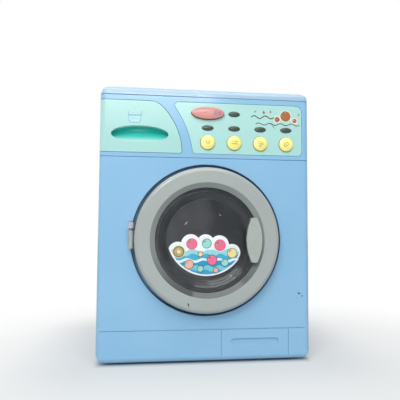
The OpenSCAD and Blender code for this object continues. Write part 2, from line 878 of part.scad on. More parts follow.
// A rib that grows out of the cover's wall and hangs just inside the walls below it
module cover_rib() {
    intersection() {
        union() {
            body_block(wall + rib_gap);
            intersection() {
                body_block(rib_in);
                block_at(-body_w, body_w, -cut, body_d + cut, cover_z, top_z);
            }
        }
        translate([0, 0, cover_z - rib_h]) linear_extrude(body_h) difference() {
            plan_outline(rib_in + weld);
            plan_outline(wall + rib_gap + rib_t);
        }
    }
}

// The body seen from above, with every side moved inwards by a given amount
module plan_outline(inset) {
    translate([-half_w + inset, inset])
        rounded(body_w - 2 * inset, body_d - 2 * inset, max(edge_r - inset, 0.8));
}

module control_fascia() color([0.56, 0.75, 0.9]) {
    difference() {
        union() {
            casing(-cut, split_y, fascia_z, cover_z);
            for (p = board_posts) rod_y(p[0], p[1], post_r, wall - groove_d, board_y0);
            for (p = high_screws) {
                side = sign(p[0]) * (half_w - 1);
                rod_y(p[0], p[1], boss_out_r, tower_y0 - fascia_boss_l, tower_y0);
                block_at(min(p[0], side), max(p[0], side), tower_y0 - fascia_boss_l, split_y - 1,
                    p[1] - 1, p[1] + 1);
            }
        }
        slab(-cut, drawer_wrap + slide_gap) drawer_outline(slide_gap);
        slab(-cut, panel_t) panel_outline(outline_gap);
        slab(-cut, wall + cut) control_openings();
        for (p = board_posts)
            rod_y(p[0], p[1], small_r + fit_gap, board_y0 - board_screw_l - cut, board_y0 + cut);
        for (p = high_screws) rod_y(p[0], p[1], screw_r + fit_gap, tower_hole_y0, tower_y0 + cut);
        seam_level(fascia_z);
        seam_level(cover_z);
        seam_depth(split_y);
    }
}

// Control panel, buttons and lamps

module control_panel() color([0.7, 0.91, 0.89]) {
    slab(0, panel_t) difference() {
        panel_outline(0);
        control_openings();
    }
}

// An oval button whose front edge is bevelled, with a flange that stops it inside the fascia
module start_button() color([0.94, 0.55, 0.5]) {
    translate([button_x(1), 0, start_z]) {
        slab(weld - start_levels[0][0], flange_y1) ellipse(start_w, start_h);
        slab(flange_y0, flange_y1)
            ellipse(start_w + 2 * button_flange, start_h + 2 * button_flange);
        hull() for (level = start_levels)
            slab(-level[0], weld - level[0])
                ellipse(start_w - 2 * level[1], start_h - 2 * level[1]);
    }
}

module program_button(i) color([0.96, 0.88, 0.46]) {
    dome_r = (pow(button_r, 2) + pow(button_dome, 2)) / (2 * button_dome);
    translate([button_x(i), 0, button_z]) rotate([-90, 0, 0]) {
        rotate_extrude() {
            translate([0, -button_rim]) square([button_r, button_rim + flange_y1]);
            translate([0, flange_y0]) square([button_r + button_flange, flange_t]);
            intersection() {
                translate([0, dome_r - button_rim - button_dome]) circle(dome_r);
                translate([0, -button_rim - button_dome]) square([button_r, button_dome + 2 * weld]);
            }
        }
    }
}

module lamp_lens(i) color([0.24, 0.32, 0.34]) {
    p = lamps[i];
    translate([p[0], 0, p[1]]) {
        slab(-lens_proud, wall + lens_t) ellipse(lamp_w, lamp_h);
        slab(wall, wall + lens_t) ellipse(lamp_w + 2 * lens_flange, lamp_h + 2 * lens_flange);
    }
}

// Rubber mat with one dome under each button
module keypad_mat() color([0.75, 0.76, 0.74]) {
    side = button_r + mat_margin;
    slab(mat_y0, board_y0) difference() {
        union() {
            translate([button_x(1) - side, button_z - side])
                square([button_x(button_n) - button_x(1) + 2 * side, 2 * side]);
            translate([button_x(1) - side, button_z - side])
                square([2 * side, start_z - button_z + side + mat_dome_foot - 0.4]);
        }
        translate(lamps[0]) circle(led_r + 0.8);
    }
    for (i = [1:button_n]) mat_dome(button_x(i), button_z);
    mat_dome(button_x(1), start_z);
}

module mat_dome(x, z) {
    translate([x, 0, z]) rotate([-90, 0, 0]) rotate_extrude()
        polygon([[0, mat_top_y], [mat_dome_top, mat_top_y], [mat_dome_foot, mat_y0],
            [mat_dome_foot, mat_y0 + 2 * weld], [0, mat_y0 + 2 * weld]]);
}

// The board, with a chip and a plug on its back
module control_board() color([0.2, 0.42, 0.24]) {
    chip = [14, 2.2, 12];
    plug = [10, 4, 6];
    back = board_y0 + board_t;
    difference() {
        union() {
            slab(board_y0, back)
                translate([board_x0, board_z0]) square([board_x1 - board_x0, board_z1 - board_z0]);
            translate([board_x0 + 30, back, board_z0 + 12]) cube(chip);
            translate([board_x1 - 30, back, board_z0 + 10]) cube(plug);
        }
        for (p = board_posts)
            rod_y(p[0], p[1], screw_r, board_y0 - cut, board_y0 + board_t + cut);
    }
}

module indicator_leds() color([0.85, 0.2, 0.15]) {
    for (p = lamps) translate([p[0], 0, p[1]]) rotate([-90, 0, 0]) rotate_extrude() {
        y0 = wall + lens_t + flange_gap + led_r;
        translate([0, y0]) intersection() {
            circle(led_r);
            translate([0, -led_r]) square([led_r, 2 * led_r]);
        }
        translate([0, y0]) square([led_r, board_y0 - y0]);
    }
}

// Drawer

// Everything in front of the recess floor, a scoop that is deep at its upper side
module recess(g) {
    reach = recess_h - scoop_low;
    q = (pow(reach, 2) - pow(recess_d, 2)) / (2 * recess_d);
    scoop_r = recess_d + q + g;
    intersection() {
        translate([recess_cx, 0, recess_cz])
            slab(-cut, recess_d + g + cut) ellipse(recess_w + 2 * g, recess_h + 2 * g);
        translate([-half_w, -q, recess_cz + recess_h / 2 - scoop_low])
            rotate([0, 90, 0]) cylinder(r = scoop_r, h = body_w);
    }
}

module detergent_drawer() color([0.72, 0.92, 0.9]) {
    divider_x = tray_x0 + (tray_x1 - tray_x0) * divider_share;
    difference() {
        union() {
            intersection() {
                difference() {
                    body_block(0);
                    body_block(wall);
                }
                slab(-cut, drawer_wrap) drawer_outline(0);
            }
            difference() {
                block_at(tray_x0, tray_x1, wall - weld, tray_l + wall, tray_z0, tray_z0 + tray_h);
                block_at(tray_x0 + tray_wall, tray_x1 - tray_wall, wall - 2 * weld,
                    tray_l + wall - tray_wall, tray_z0 + tray_wall, tray_z0 + tray_h + cut);
            }
            block_at(divider_x, divider_x + tray_wall, recess_d + divider_behind,
                tray_l + wall - tray_wall + weld, tray_z0 + tray_wall - weld,
                tray_z0 + tray_h - divider_low);
            intersection() {
                recess(tray_wall);
                block_at(-half_w, half_w, 0.3, body_d, 0, top_z);
            }
        }
        recess(0);
    }
}

// A channel under the tray, held to the back of the fascia by its flange
module drawer_guide() color([0.82, 0.86, 0.88]) {
    front = wall + flange_gap;
    block_at(guide_left, guide_right, guide_y0, guide_y1, guide_z0, guide_z0 + guide_t);
    block_at(guide_left, guide_left + guide_t, guide_y0, guide_y1, guide_z0, guide_z0 + guide_h);
    block_at(guide_right - guide_t, guide_right, front, guide_y1, guide_z0, guide_z0 + guide_h);
    block_at(guide_right - guide_t, guide_right + guide_flange_w, front, front + guide_t,
        guide_z0 + guide_flange_up, guide_z0 + guide_h);
}

// Door

module door_ring_profile() {
    polygon([[lip_r, -lip_proud], [slope_r, -door_proud], [door_r - door_round, -door_proud],
        [door_r - door_round, door_skirt], [lip_r, door_skirt]]);
    translate([door_r - door_round, -door_proud + door_round])
        square([door_round, door_proud - door_round + door_skirt]);
    translate([door_r - door_round, -door_proud + door_round]) circle(door_round);
}

module door_ring_hollow() {
    inner = door_r - door_wall;
    face = -door_proud + door_wall;
    bevel = door_round - door_wall;
    polygon([[0, -lip_proud + lip_t], [clamp_r, -lip_proud + lip_t], [slope_r + 1, face],
        [inner - bevel, face], [inner, face + bevel], [inner, door_skirt + cut],
        [0, door_skirt + cut]]);
}

module door_ring() color([0.68, 0.7, 0.69]) {
    difference() {
        union() {
            turned() difference() {
                door_ring_profile();
                door_ring_hollow();
            }
            for (p = door_posts) rod_y(p[0], p[1], door_screw_post, -door_proud + 1, back_ring_y);
            handle_pad();
            door_knuckle();
        }
        for (p = door_posts)
            rod_y(p[0], p[1], small_r + fit_gap, door_screw_tip - cut, back_ring_y + cut);
        for (p = handle_pegs) rod_y(p[0], p[1], peg_r + fit_gap, handle_y1 - cut, 0);
        translate([hinge_x, hinge_y, knuckle_z0 - cut])
            cylinder(r = pin_r + run_gap, h = knuckle_l + 2 * cut);
    }
}

handle_pegs = [for (s = [-1, 1])
    [door_x + peg_at * cos(s * peg_angle), door_z + peg_at * sin(s * peg_angle)]];

// A pad of the inner lip under the handle's outer side, which carries the handle
module handle_pad() {
    slab(handle_y1, -lip_proud + lip_t) intersection() {
        handle_outline();
        translate([door_x, door_z]) difference() {
            circle(door_r);
            circle(lip_r - pad_w);
        }
    }
}

module handle_outline() {
    half = handle_h / 2;
    bulge = (handle_w - handle_end) / 2;
    r = (pow(half, 2) + pow(bulge, 2)) / (2 * bulge);
    intersection() {
        translate([handle_cx + handle_w / 2 - r, door_z]) circle(r);
        translate([handle_cx - handle_w / 2 + r, door_z]) circle(r);
        translate([handle_cx - handle_w / 2, door_z - half]) rounded(handle_w, handle_h, 4);
    }
}

// The long knuckle and the arm that joins it to the ring's skirt, behind the visible gap
module door_knuckle() {
    arm_x0 = hinge_x + weld;
    arm_into = 1.6;
    arm_y0 = 1;
    difference() {
        union() {
            translate([hinge_x, hinge_y, knuckle_z0]) cylinder(r = knuckle_r, h = knuckle_l);
            block_at(arm_x0, arm_x0 + arm_t, hinge_y, arm_y, knuckle_z0, knuckle_z0 + knuckle_l);
            block_at(arm_x0, hinge_x + knuckle_r + hinge_gap + arm_into, arm_y0, arm_y,
                knuckle_z0, knuckle_z0 + knuckle_l);
        }
        rod_y(door_x, door_z, door_r - door_wall, -door_proud, door_skirt);
    }
}

module door_back_ring() color([0.62, 0.64, 0.63]) {
    difference() {
        turned() {
            translate([clamp_r - clamp_w, back_ring_y])
                square([back_ring_r - clamp_r + clamp_w, back_ring_t]);
            translate([clamp_r - clamp_w, flange_back])
                square([clamp_w, back_ring_y - flange_back + 5 * weld]);
        }
        for (p = door_posts) rod_y(p[0], p[1], screw_r, 0, back_ring_y + back_ring_t + cut);
    }
}

// The clear window: a flange under the ring's lip and a shallow dish
module door_window() color([0.6, 0.66, 0.7, 0.4]) {
    front = -lip_proud + lip_t;
    behind = 0.9;
    turned() polygon([
        [window_r, front], [dish_r, front], [dish_floor_r, dish_floor_y], [0, dish_floor_y],
        [0, dish_floor_y + window_t], [dish_floor_r + behind, dish_floor_y + window_t],
        [dish_r + behind, front + window_t], [window_r, front + window_t]
    ]);
}

// A leaf with blunt ends, on two pegs
module door_handle() color([0.69, 0.71, 0.7]) {
    slab(handle_y0, handle_y1) handle_outline();
    for (p = handle_pegs) rod_y(p[0], p[1], peg_r, handle_y1 - weld, peg_y1);
}

module door_latch() color([0.62, 0.64, 0.63]) {
    base_y0 = back_ring_y + back_ring_t;
    x = door_x + latch_x;
    block_at(x - latch_base_w / 2, x + latch_base_w / 2, base_y0, base_y0 + latch_base_t,
        door_z - latch_base_l / 2, door_z + latch_base_l / 2);
    block_at(x - latch_w / 2, x + latch_w / 2, base_y0, latch_y1 - latch_w / 2,
        door_z - latch_l / 2, door_z + latch_l / 2);
    translate([x, latch_y1 - latch_w / 2, door_z - latch_l / 2])
        cylinder(r = latch_w / 2, h = latch_l);
}

// A printed label on the window's floor: a wavy bank of foam over a round lower edge
module door_sticker() color([0.96, 0.98, 0.98]) {
    bumps = dish_floor_r * [
        [-0.71, -0.29, 0.237], [-0.395, -0.105, 0.237], [-0.026, -0.079, 0.21],
        [0.316, -0.132, 0.237], [0.63, -0.316, 0.21]
    ];
    slab(dish_floor_y - sticker_t, dish_floor_y) intersection() {
        translate([door_x, door_z + sticker_lift]) circle(dish_floor_r - sticker_edge);
        union() {
            translate([door_x - dish_floor_r, door_z - dish_floor_r])
                square(dish_floor_r * [1.79, 0.79]);
            for (b = bumps) translate([door_x + b[0], door_z + b[1]]) circle(b[2]);
        }
    }
}

// Door hinge on the body side

module hinge_bracket() color([0.72, 0.75, 0.74]) {
    x0 = hinge_x - knuckle_r;
    difference() {
        union() {
            translate([hinge_x, hinge_y, ear_z0]) cylinder(r = ear_r, h = ear_l);
            block_at(x0, x0 + leaf_t, hinge_y, wall + bracket_t, ear_z0, ear_z0 + ear_l);
            block_at(x0 - bracket_l, x0 + leaf_t, wall, wall + bracket_t, ear_z0, ear_z0 + ear_l);
        }
        translate([hinge_x, hinge_y, ear_z0 - cut])
            cylinder(r = pin_r + fit_gap, h = ear_l + 2 * cut);
        for (p = bracket_screws) rod_y(p[0], p[1], screw_r - 0.1, wall - cut, wall + bracket_t + cut);
    }
}

module hinge_pin() color([0.7, 0.71, 0.72]) {
    translate([hinge_x, hinge_y, knuckle_z0 - pin_out]) {
        length = ear_z0 + ear_l - knuckle_z0 + pin_out;
        cylinder(r = pin_r, h = length);
        translate([0, 0, length]) cylinder(r = pin_r + pin_lip, h = pin_head);
    }
}

// A pan head screw along the depth: the head at y_head, the shank on its other side
module screw(x, z, r, r_head, y_head, y_tip) {
    s = sign(y_head - y_tip);
    rod_y(x, z, r, min(y_tip, y_head), max(y_tip, y_head));
    rod_y(x, z, r_head, min(y_head, y_head + s * head_h), max(y_head, y_head + s * head_h));
}

module hinge_screws() color([0.55, 0.56, 0.58]) {
    for (p = bracket_screws)
        screw(p[0], p[1], small_r, small_head, wall + bracket_t, groove_d + 0.2);
}

// Tub, drum and shaft

module tub() color([0.86, 0.88, 0.89]) {
    difference() {
        union() {
            turned() {
                translate([tub_in_r, tub_y0]) square([tub_wall, tub_y1 - tub_y0]);
                translate([tub_in_r, tub_y0]) square([tub_flange_r - tub_in_r, tub_wall]);
                translate([0, tub_in_y]) square([tub_out_r, tub_wall]);
                translate([0, tub_in_y]) square([boss_r, bush_y1 - tub_in_y]);
            }
            for (p = tub_posts) slab(tub_y0, tub_y0 + tub_wall) tub_ear(p);
            for (p = pillars) rod_y(p[0], p[1], pillar_r, tub_y1 - 2 * weld, plate_y0);
            rod_y(idler_x, idler_z, axle_r + idler_boss_w, tub_y1 - 2 * weld, bush_y1);
        }
        rod_y(door_x, door_z, bush_r + fit_gap, tub_in_y - cut, bush_y1 + cut);
        rod_y(idler_x, idler_z, axle_r + fit_gap, tub_in_y + 0.4, bush_y1 + cut);
        for (p = tub_posts) rod_y(p[0], p[1], clear_r, tub_y0 - cut, tub_y0 + tub_wall + cut);
        for (p = pillars)
            rod_y(p[0], p[1], plate_screw_r + fit_gap, plate_y0 - plate_screw_l - cut, plate_y0 + cut);
    }
}

// A screw ear that reaches from the tub's flange out to a post of the front casing
module tub_ear(p) {
    a = atan2(p[1] - door_z, p[0] - door_x);
    translate([door_x, door_z]) rotate(a)
        translate([tub_in_r + 1, -ear_half_w]) square([tub_screw_at - tub_in_r - 1, 2 * ear_half_w]);
    translate(p) circle(tub_ear_r);
}

module drum() color([0.78, 0.8, 0.82]) {
    in_r = drum_r - drum_wall;
    difference() {
        union() {
            turned() {
                translate([in_r, drum_y0]) square([drum_wall, drum_l]);
                translate([mouth_r + 1, drum_y0]) square([drum_r - mouth_r - 1, drum_wall]);
                translate([0, drum_y1 - drum_wall]) square([drum_r, drum_wall]);
                translate([0, drum_y1 - hub_l]) square([hub_r, hub_l + cut]);
            }
            for (a = [90, 210, 330]) translate([door_x, 0, door_z]) rotate([0, -a, 0])
                slab(drum_y0 + 1, drum_y1 - 1) polygon([
                    [in_r + 0.4, -lifter_foot], [in_r - lifter_h, -lifter_top],
                    [in_r - lifter_h, lifter_top], [in_r + 0.4, lifter_foot]
                ]);
        }
        rod_y(door_x, door_z, shaft_r + fit_gap, drum_y1 - shaft_in - 2 * weld, drum_y1 + 2 * cut);
        for (k = [0:2], i = [0:hole_n - 1]) translate([door_x, drum_y0 + drum_l * (k + 1) / 4, door_z])
            rotate([0, 360 * (i + 0.5) / hole_n, 0])
            translate([in_r - cut, 0, 0]) rotate([0, 90, 0]) cylinder(r = hole_r, h = drum_wall + 2 * cut);
    }
}

module drum_shaft() color([0.7, 0.71, 0.73]) {
    rod_y(door_x, door_z, shaft_r, drum_y1 - shaft_in, plate_y1 + 1);
}

module drum_bush() color([0.72, 0.56, 0.32]) {
    turned() {
        translate([shaft_r + run_gap, bush_y0])
            square([bush_flange_r - shaft_r - run_gap, tub_in_y - bush_y0]);
        translate([shaft_r + run_gap, bush_y0])
            square([bush_r - shaft_r - run_gap, bush_y1 - bush_y0 + 0.4]);
    }
}

// Gears

// Angle that an involute has turned through between its base circle and radius r
function involute(base, r) = let (a = acos(min(1, base / r))) tan(a) * 180 / PI - a;

// Half of a tooth's angle at radius r, for a gear with t teeth
function half_tooth(t, r) =
    let (base = gear_m * t / 2 * cos(pressure))
    90 / t - backlash / (2 * gear_m * t / 2) * 180 / PI
        + involute(base, gear_m * t / 2) - involute(base, r);

function polar(r, a) = [r * cos(a), r * sin(a)];

// One tooth's outline, from root to tip and back to the root
function tooth(t, mid) =
    let (
        tip = gear_m * (t / 2 + tooth_add),
        root = gear_m * (t / 2 - tooth_ded),
        base = max(gear_m * t / 2 * cos(pressure), root),
        n = 4,
        rs = [for (k = [0:n]) base + (tip - base) * k / n]
    )
    concat(
        base > root ? [polar(root, mid - half_tooth(t, base))] : [],
        [for (k = [0:n]) polar(rs[k], mid - half_tooth(t, rs[k]))],
        [for (k = [n:-1:0]) polar(rs[k], mid + half_tooth(t, rs[k]))],
        base > root ? [polar(root, mid + half_tooth(t, base))] : []
    );

// A gear outline with one tooth centred on the angle given
module gear_outline(t, at) {
    polygon([for (i = [0:t - 1]) each tooth(t, at + 360 * i / t)]);
}

module drum_gear() color([0.93, 0.93, 0.9]) {
    translate([door_x, 0, door_z]) difference() {
        union() {
            slab(gear_y0, gear_y1) gear_outline(drum_teeth, idler_angle);
            rod_y(0, 0, shaft_r + gear_hub_w, bush_y1 + 2 * end_gap, plate_y0 - end_gap);
        }
        rod_y(0, 0, shaft_r + fit_gap, tub_y1, plate_y1);
        for (p = round_places(6, lighten_at * gear_m, 0, 0, 0))
            rod_y(p[0], p[1], lighten_r, gear_y0 - cut, gear_y1 + cut);
    }
}

// The idler's small gear meets the drum gear and its large gear meets the motor pinion
module idler_gear() color([0.93, 0.9, 0.8]) {
    translate([idler_x, 0, idler_z]) difference() {
        union() {
            slab(gear_y0 - 0.3, large_y0 + 0.1)
                gear_outline(small_teeth, idler_angle + 180 + 180 / small_teeth);
            slab(large_y0, large_y1) gear_outline(large_teeth, motor_angle);
            rod_y(0, 0, axle_r + idler_hub_w, bush_y1 + end_gap, plate_y0 - end_gap);
        }
        rod_y(0, 0, axle_r + run_gap, tub_y1, plate_y1);
    }
}

module idler_axle() color([0.7, 0.71, 0.73]) {
    rod_y(idler_x, idler_z, axle_r, tub_in_y + 0.6, plate_y1);
}

module motor_pinion() color([0.78, 0.62, 0.36]) {
    translate([motor_x, 0, motor_z]) difference() {
        slab(large_y0 - end_gap, large_y1 + end_gap)
            gear_outline(pinion_teeth, motor_angle + 180 + 180 / pinion_teeth);
        rod_y(0, 0, motor_shaft_r + fit_gap, tub_y1, plate_y1);
    }
}

module motor_shaft() color([0.7, 0.71, 0.73]) {
    rod_y(motor_x, motor_z, motor_shaft_r, large_y0 - 0.8, plate_y1 + 5);
}

module motor_can() color([0.66, 0.67, 0.69]) {
    difference() {
        union() {
            slab(plate_y1, plate_y1 + motor_l) translate([motor_x, motor_z]) intersection() {
                circle(motor_r);
                translate([-motor_flat / 2, -motor_r]) square([motor_flat, 2 * motor_r]);
            }
            rod_y(motor_x, motor_z, motor_boss_r, plate_y0 + 0.6, plate_y1 + weld);
            rod_y(motor_x, motor_z, motor_boss_r, plate_y1 + motor_l - weld,
                plate_y1 + motor_l + motor_boss_l);
        }
        rod_y(motor_x, motor_z, motor_shaft_r + run_gap, plate_y0, plate_y1 + 6);
        for (p = motor_mounts)
            rod_y(p[0], p[1], motor_screw_r + fit_gap, plate_y1 - cut, plate_y1 + motor_screw_in + 0.4);
    }
}

module gear_plate() color([0.86, 0.88, 0.89]) {
    difference() {
        slab(plate_y0, plate_y1) {
            polygon([
                pillars[0], pillars[1], [motor_x + 6, motor_z - 12], [motor_x + 12, motor_z - 6],
                pillars[2], pillars[3], [door_x - 6, door_z + 14]
            ]);
            for (p = pillars) translate(p) circle(plate_ear_r);
            translate([door_x, door_z]) circle(plate_hub_r);
        }
        rod_y(door_x, door_z, shaft_r + run_gap, plate_y0 - cut, plate_y1 + cut);
        rod_y(idler_x, idler_z, axle_r + fit_gap, plate_y0 - cut, plate_y1 + cut);
        rod_y(motor_x, motor_z, motor_boss_r + 0.1, plate_y0 - cut, plate_y1 + cut);
        for (p = motor_mounts) rod_y(p[0], p[1], motor_screw_r + 0.2, plate_y0 - cut, plate_y1 + cut);
        for (p = pillars) rod_y(p[0], p[1], screw_r, plate_y0 - cut, plate_y1 + cut);
    }
}

// Batteries

module battery_box() color([0.3, 0.32, 0.34]) {
    w = box_in_w + 2 * box_wall;
    h = box_in_h + 2 * box_wall;
    difference() {
        block_at(-w / 2, w / 2, box_y0, rear_y, box_z0 - box_wall, box_z0 - box_wall + h);
        block_at(-box_in_w / 2, box_in_w / 2, box_y0 + box_wall, rear_y + cut,
            box_z0, box_z0 + box_in_h);
    }
    for (i = [1:cell_n - 1])
        block_at(-box_in_w / 2 + 4, box_in_w / 2 - 4, box_y0 + box_wall - weld, box_y0 + 5,
            box_z0 + i * cell_pitch - 0.3, box_z0 + i * cell_pitch + 0.3);
}

// Turns every second cell, with its contacts, end for end
module each_cell() {
    for (i = [0:cell_n - 1])
        translate([0, cell_y, box_z0 + (i + 0.5) * cell_pitch]) rotate([0, 0, i % 2 * 180]) children();
}

module battery_cells() color([0.2, 0.22, 0.25]) {
    each_cell() rotate([0, 90, 0]) {
        translate([0, 0, -cell_l / 2]) cylinder(r = cell_d / 2, h = cell_l - cap_h + weld);
        translate([0, 0, cell_l / 2 - cap_h]) cylinder(r = cap_r, h = cap_h);
    }
}

// A flat tongue on a short fin for each positive end and a tapered coil for each negative end
module battery_contacts() color([0.75, 0.72, 0.6]) {
    tongue_t = 0.5;
    each_cell() {
        block_at(cell_l / 2, cell_l / 2 + tongue_t, -4, 4, -5, 5);
        block_at(cell_l / 2 + tongue_t - weld, box_in_w / 2, -1, 1, -5, 5);
        translate([-box_in_w / 2, 0, 0]) rotate([0, 90, 0]) cylinder(r1 = 5, r2 = 3, h = spring_l);
    }
}

module battery_cover() color([0.56, 0.75, 0.9]) {
    difference() {
        union() {
            slab(body_d - cover_lip, body_d) cover_shape(0);
            slab(rear_y + 2 * weld, body_d - cover_lip + weld)
                translate([-box_in_w / 2 + slide_gap, box_z0 + slide_gap])
                square([box_in_w - 2 * slide_gap, box_in_h - 2 * slide_gap]);
        }
        for (p = cover_posts) {
            rod_y(p[0], p[1], screw_r + 0.1, rear_y - cut, body_d + cut);
            rod_y(p[0], p[1], screw_head, body_d - cover_head, body_d + cut);
        }
        for (i = [0:cover_rib_n - 1]) slab(body_d - groove_d, body_d + cut)
            translate([-cover_rib_l / 2, box_z0 + box_in_h - 6 - cover_rib_step * i])
                square([cover_rib_l, 1]);
    }
}

module battery_cover_screws() color([0.55, 0.56, 0.58]) {
    for (p = cover_posts) {
        rod_y(p[0], p[1], screw_r, body_d - cover_lip - cover_post_l + 2 * cut, body_d - cover_sunk);
        rod_y(p[0], p[1], screw_head - 0.2, body_d - cover_head, body_d - cover_sunk);
    }
}

// Speaker and switch

module speaker() color([0.16, 0.16, 0.17]) {
    translate([-speaker_x, 0, rear_row_z]) rotate([-90, 0, 0]) rotate_extrude()
        polygon([[0, speaker_y0 - speaker_l], [speaker_r * 0.55, speaker_y0 - speaker_l],
            [speaker_r * 0.55, speaker_y0 - 4], [speaker_r - 1.5, speaker_y0],
            [speaker_r, speaker_y0], [speaker_r, rear_y], [speaker_r - 2, rear_y],
            [speaker_r - 4, rear_y - 1.4], [6, rear_y - 3.4], [0, rear_y - 2.6]]);
}

module speaker_ring() color([0.82, 0.83, 0.82]) {
    difference() {
        slab(speaker_y0 - speaker_ring_t, speaker_y0) difference() {
            union() {
                translate([-speaker_x, rear_row_z]) circle(speaker_r + 2);
                for (p = speaker_posts) translate(p) circle(boss_out_r);
            }
            translate([-speaker_x, rear_row_z]) circle(speaker_r - 0.5);
        }
        for (p = speaker_posts)
            rod_y(p[0], p[1], screw_r, speaker_y0 - speaker_ring_t - cut, speaker_y0 + cut);
    }
}

// A slide switch; its slider's knob shows in the slot of the rear wall
module power_switch_body() color([0.2, 0.21, 0.22]) {
    x0 = switch_x + switch_travel / 2 - switch_w / 2;
    difference() {
        block_at(x0, x0 + switch_w, rear_y - switch_d, rear_y,
            rear_row_z - switch_hz / 2, rear_row_z + switch_hz / 2);
        block_at(switch_x - knob_w / 2 - slider_room, switch_x + knob_w / 2 + switch_travel + slider_room,
            rear_y - slider_t - slider_back - knob_gap, rear_y + cut,
            rear_row_z - knob_h / 2 - knob_gap, rear_row_z + knob_h / 2 + knob_gap);
    }
}

module power_switch_slider() color([0.85, 0.85, 0.83]) {
    block_at(switch_x - knob_w / 2 - slider_wing, switch_x + knob_w / 2 + slider_wing,
        rear_y - slider_t - slider_back, rear_y - slider_back,
        rear_row_z - knob_h / 2, rear_row_z + knob_h / 2);
    block_at(switch_x - knob_w / 2, switch_x + knob_w / 2, rear_y - slider_back - weld, body_d - 0.2,
        rear_row_z - knob_h / 2, rear_row_z + knob_h / 2);
}

// Feet and fasteners

module feet() color([0.2, 0.21, 0.22]) {
    for (x = [-1, 1] * (half_w - foot_side), y = [foot_front, body_d - foot_front])
        translate([x, y, 0]) cylinder(r1 = foot_r - 0.5, r2 = foot_r, h = foot_h);
}

module housing_screws() color([0.55, 0.56, 0.58]) {
    for (p = concat(low_screws, high_screws))
        screw(p[0], p[1], screw_r, screw_head, tower_y0 + tower_floor, tower_y0 - screw_grip);
}

module tub_screws() color([0.55, 0.56, 0.58]) {
    for (p = tub_posts) screw(p[0], p[1], screw_r, screw_head, tub_y0 + tub_wall, tub_y0 - tub_screw_l);
}

module door_screws() color([0.55, 0.56, 0.58]) {
    for (p = door_posts)
        screw(p[0], p[1], small_r, door_screw_head, back_ring_y + back_ring_t, door_screw_tip);
}

module board_screws() color([0.55, 0.56, 0.58]) {
    for (p = board_posts)
        screw(p[0], p[1], small_r, small_head, board_y0 + board_t, board_y0 - board_screw_l);
}

module gear_plate_screws() color([0.55, 0.56, 0.58]) {
    for (p = pillars)
        screw(p[0], p[1], plate_screw_r, screw_head, plate_y1, plate_y0 - plate_screw_l);
}

module motor_screws() color([0.55, 0.56, 0.58]) {
    for (p = motor_mounts)
        screw(p[0], p[1], motor_screw_r, motor_screw_head, plate_y0, plate_y1 + motor_screw_in);
}

module speaker_screws() color([0.55, 0.56, 0.58]) {
    for (p = speaker_posts)
        screw(p[0], p[1], small_r, small_head, speaker_y0 - speaker_ring_t, speaker_y0 + 2.2);
}

// Leads, each a run of straight stretches along the axes with rounded corners

lead_r = 0.7;
lead_bend = 2.5;
lead_x = -half_w + 26;
lead_z = fascia_z - 3.4;
board_back = board_y0 + board_t;
leads = [
    [[-12, rear_y - 10, box_z0 + box_in_h + box_wall], [-12, rear_y - 10, box_z0 + box_in_h + 12],
        [lead_x, rear_y - 10, box_z0 + box_in_h + 12], [lead_x, rear_y - 10, lead_z],
        [lead_x, split_y - 30, lead_z], [40, split_y - 30, lead_z],
        [40, split_y - 30, board_z0 + 8], [40, board_back, board_z0 + 8]],
    [[-16, rear_y - 10, box_z0 + box_in_h + box_wall], [-16, rear_y - 10, box_z0 + box_in_h + 8],
        [lead_x - 4, rear_y - 10, box_z0 + box_in_h + 8], [lead_x - 4, rear_y - 10, lead_z - 2],
        [lead_x - 4, split_y - 26, lead_z - 2], [44, split_y - 26, lead_z - 2],
        [44, split_y - 26, board_z0 + 8], [44, board_back, board_z0 + 8]],
    [[motor_x, plate_y1 + motor_l, motor_z + 5], [motor_x, rear_y - 3, motor_z + 5],
        [motor_x, rear_y - 3, lead_z], [motor_x, board_back + 14, lead_z],
        [motor_x, board_back + 14, board_z0 + 20], [motor_x, board_back, board_z0 + 20]],
    [[-speaker_x, speaker_y0 - speaker_l, rear_row_z + 6], [-speaker_x, split_y + 8, rear_row_z + 6],
        [12, split_y + 8, rear_row_z + 6], [12, board_back, rear_row_z + 6]],
    [[switch_x, rear_y - switch_d, rear_row_z - 2], [switch_x, board_back, rear_row_z - 2]]
];

// Three points that round off the corner at point i
function bend(p, i) =
    let (a = p[i - 1] - p[i], b = p[i + 1] - p[i])
    [for (t = [0, 0.5, 1])
        p[i] + lead_bend * (pow(1 - t, 2) * a / norm(a) + pow(t, 2) * b / norm(b))];

function bent(p) =
    concat([p[0]], [for (i = [1:len(p) - 2]) each bend(p, i)], [p[len(p) - 1]]);

// A tube of eight sides along a list of points
module tube(p) {
    last = len(p) - 1;
    sides = 8;
    skew = [1, 1.7, 0.6];
    rings = [for (i = [0:last])
        let (
            d = p[min(i + 1, last)] - p[max(i - 1, 0)],
            u = cross(d, skew) / norm(cross(d, skew)),
            v = cross(d, u) / norm(cross(d, u))
        )
        each [for (k = [0:sides - 1])
            p[i] + lead_r * (cos(360 * k / sides) * u + sin(360 * k / sides) * v)]];
    walls = [for (i = [0:last - 1], k = [0:sides - 1])
        let (a = i * sides + k, b = i * sides + (k + 1) % sides)
        each [[a, b, b + sides], [a, b + sides, a + sides]]];
    caps = [for (k = [1:sides - 2]) each
        [[0, k + 1, k], [last * sides, last * sides + k, last * sides + k + 1]]];
    polyhedron(rings, concat(walls, caps));
}

module wiring() color([0.75, 0.15, 0.12]) {
    for (points = leads) tube(bent(points));
}

// Everything is drawn from the front face backwards, then moved so that the toy is centred.
module placed() {
    translate([0, front_y, 0]) children();
}

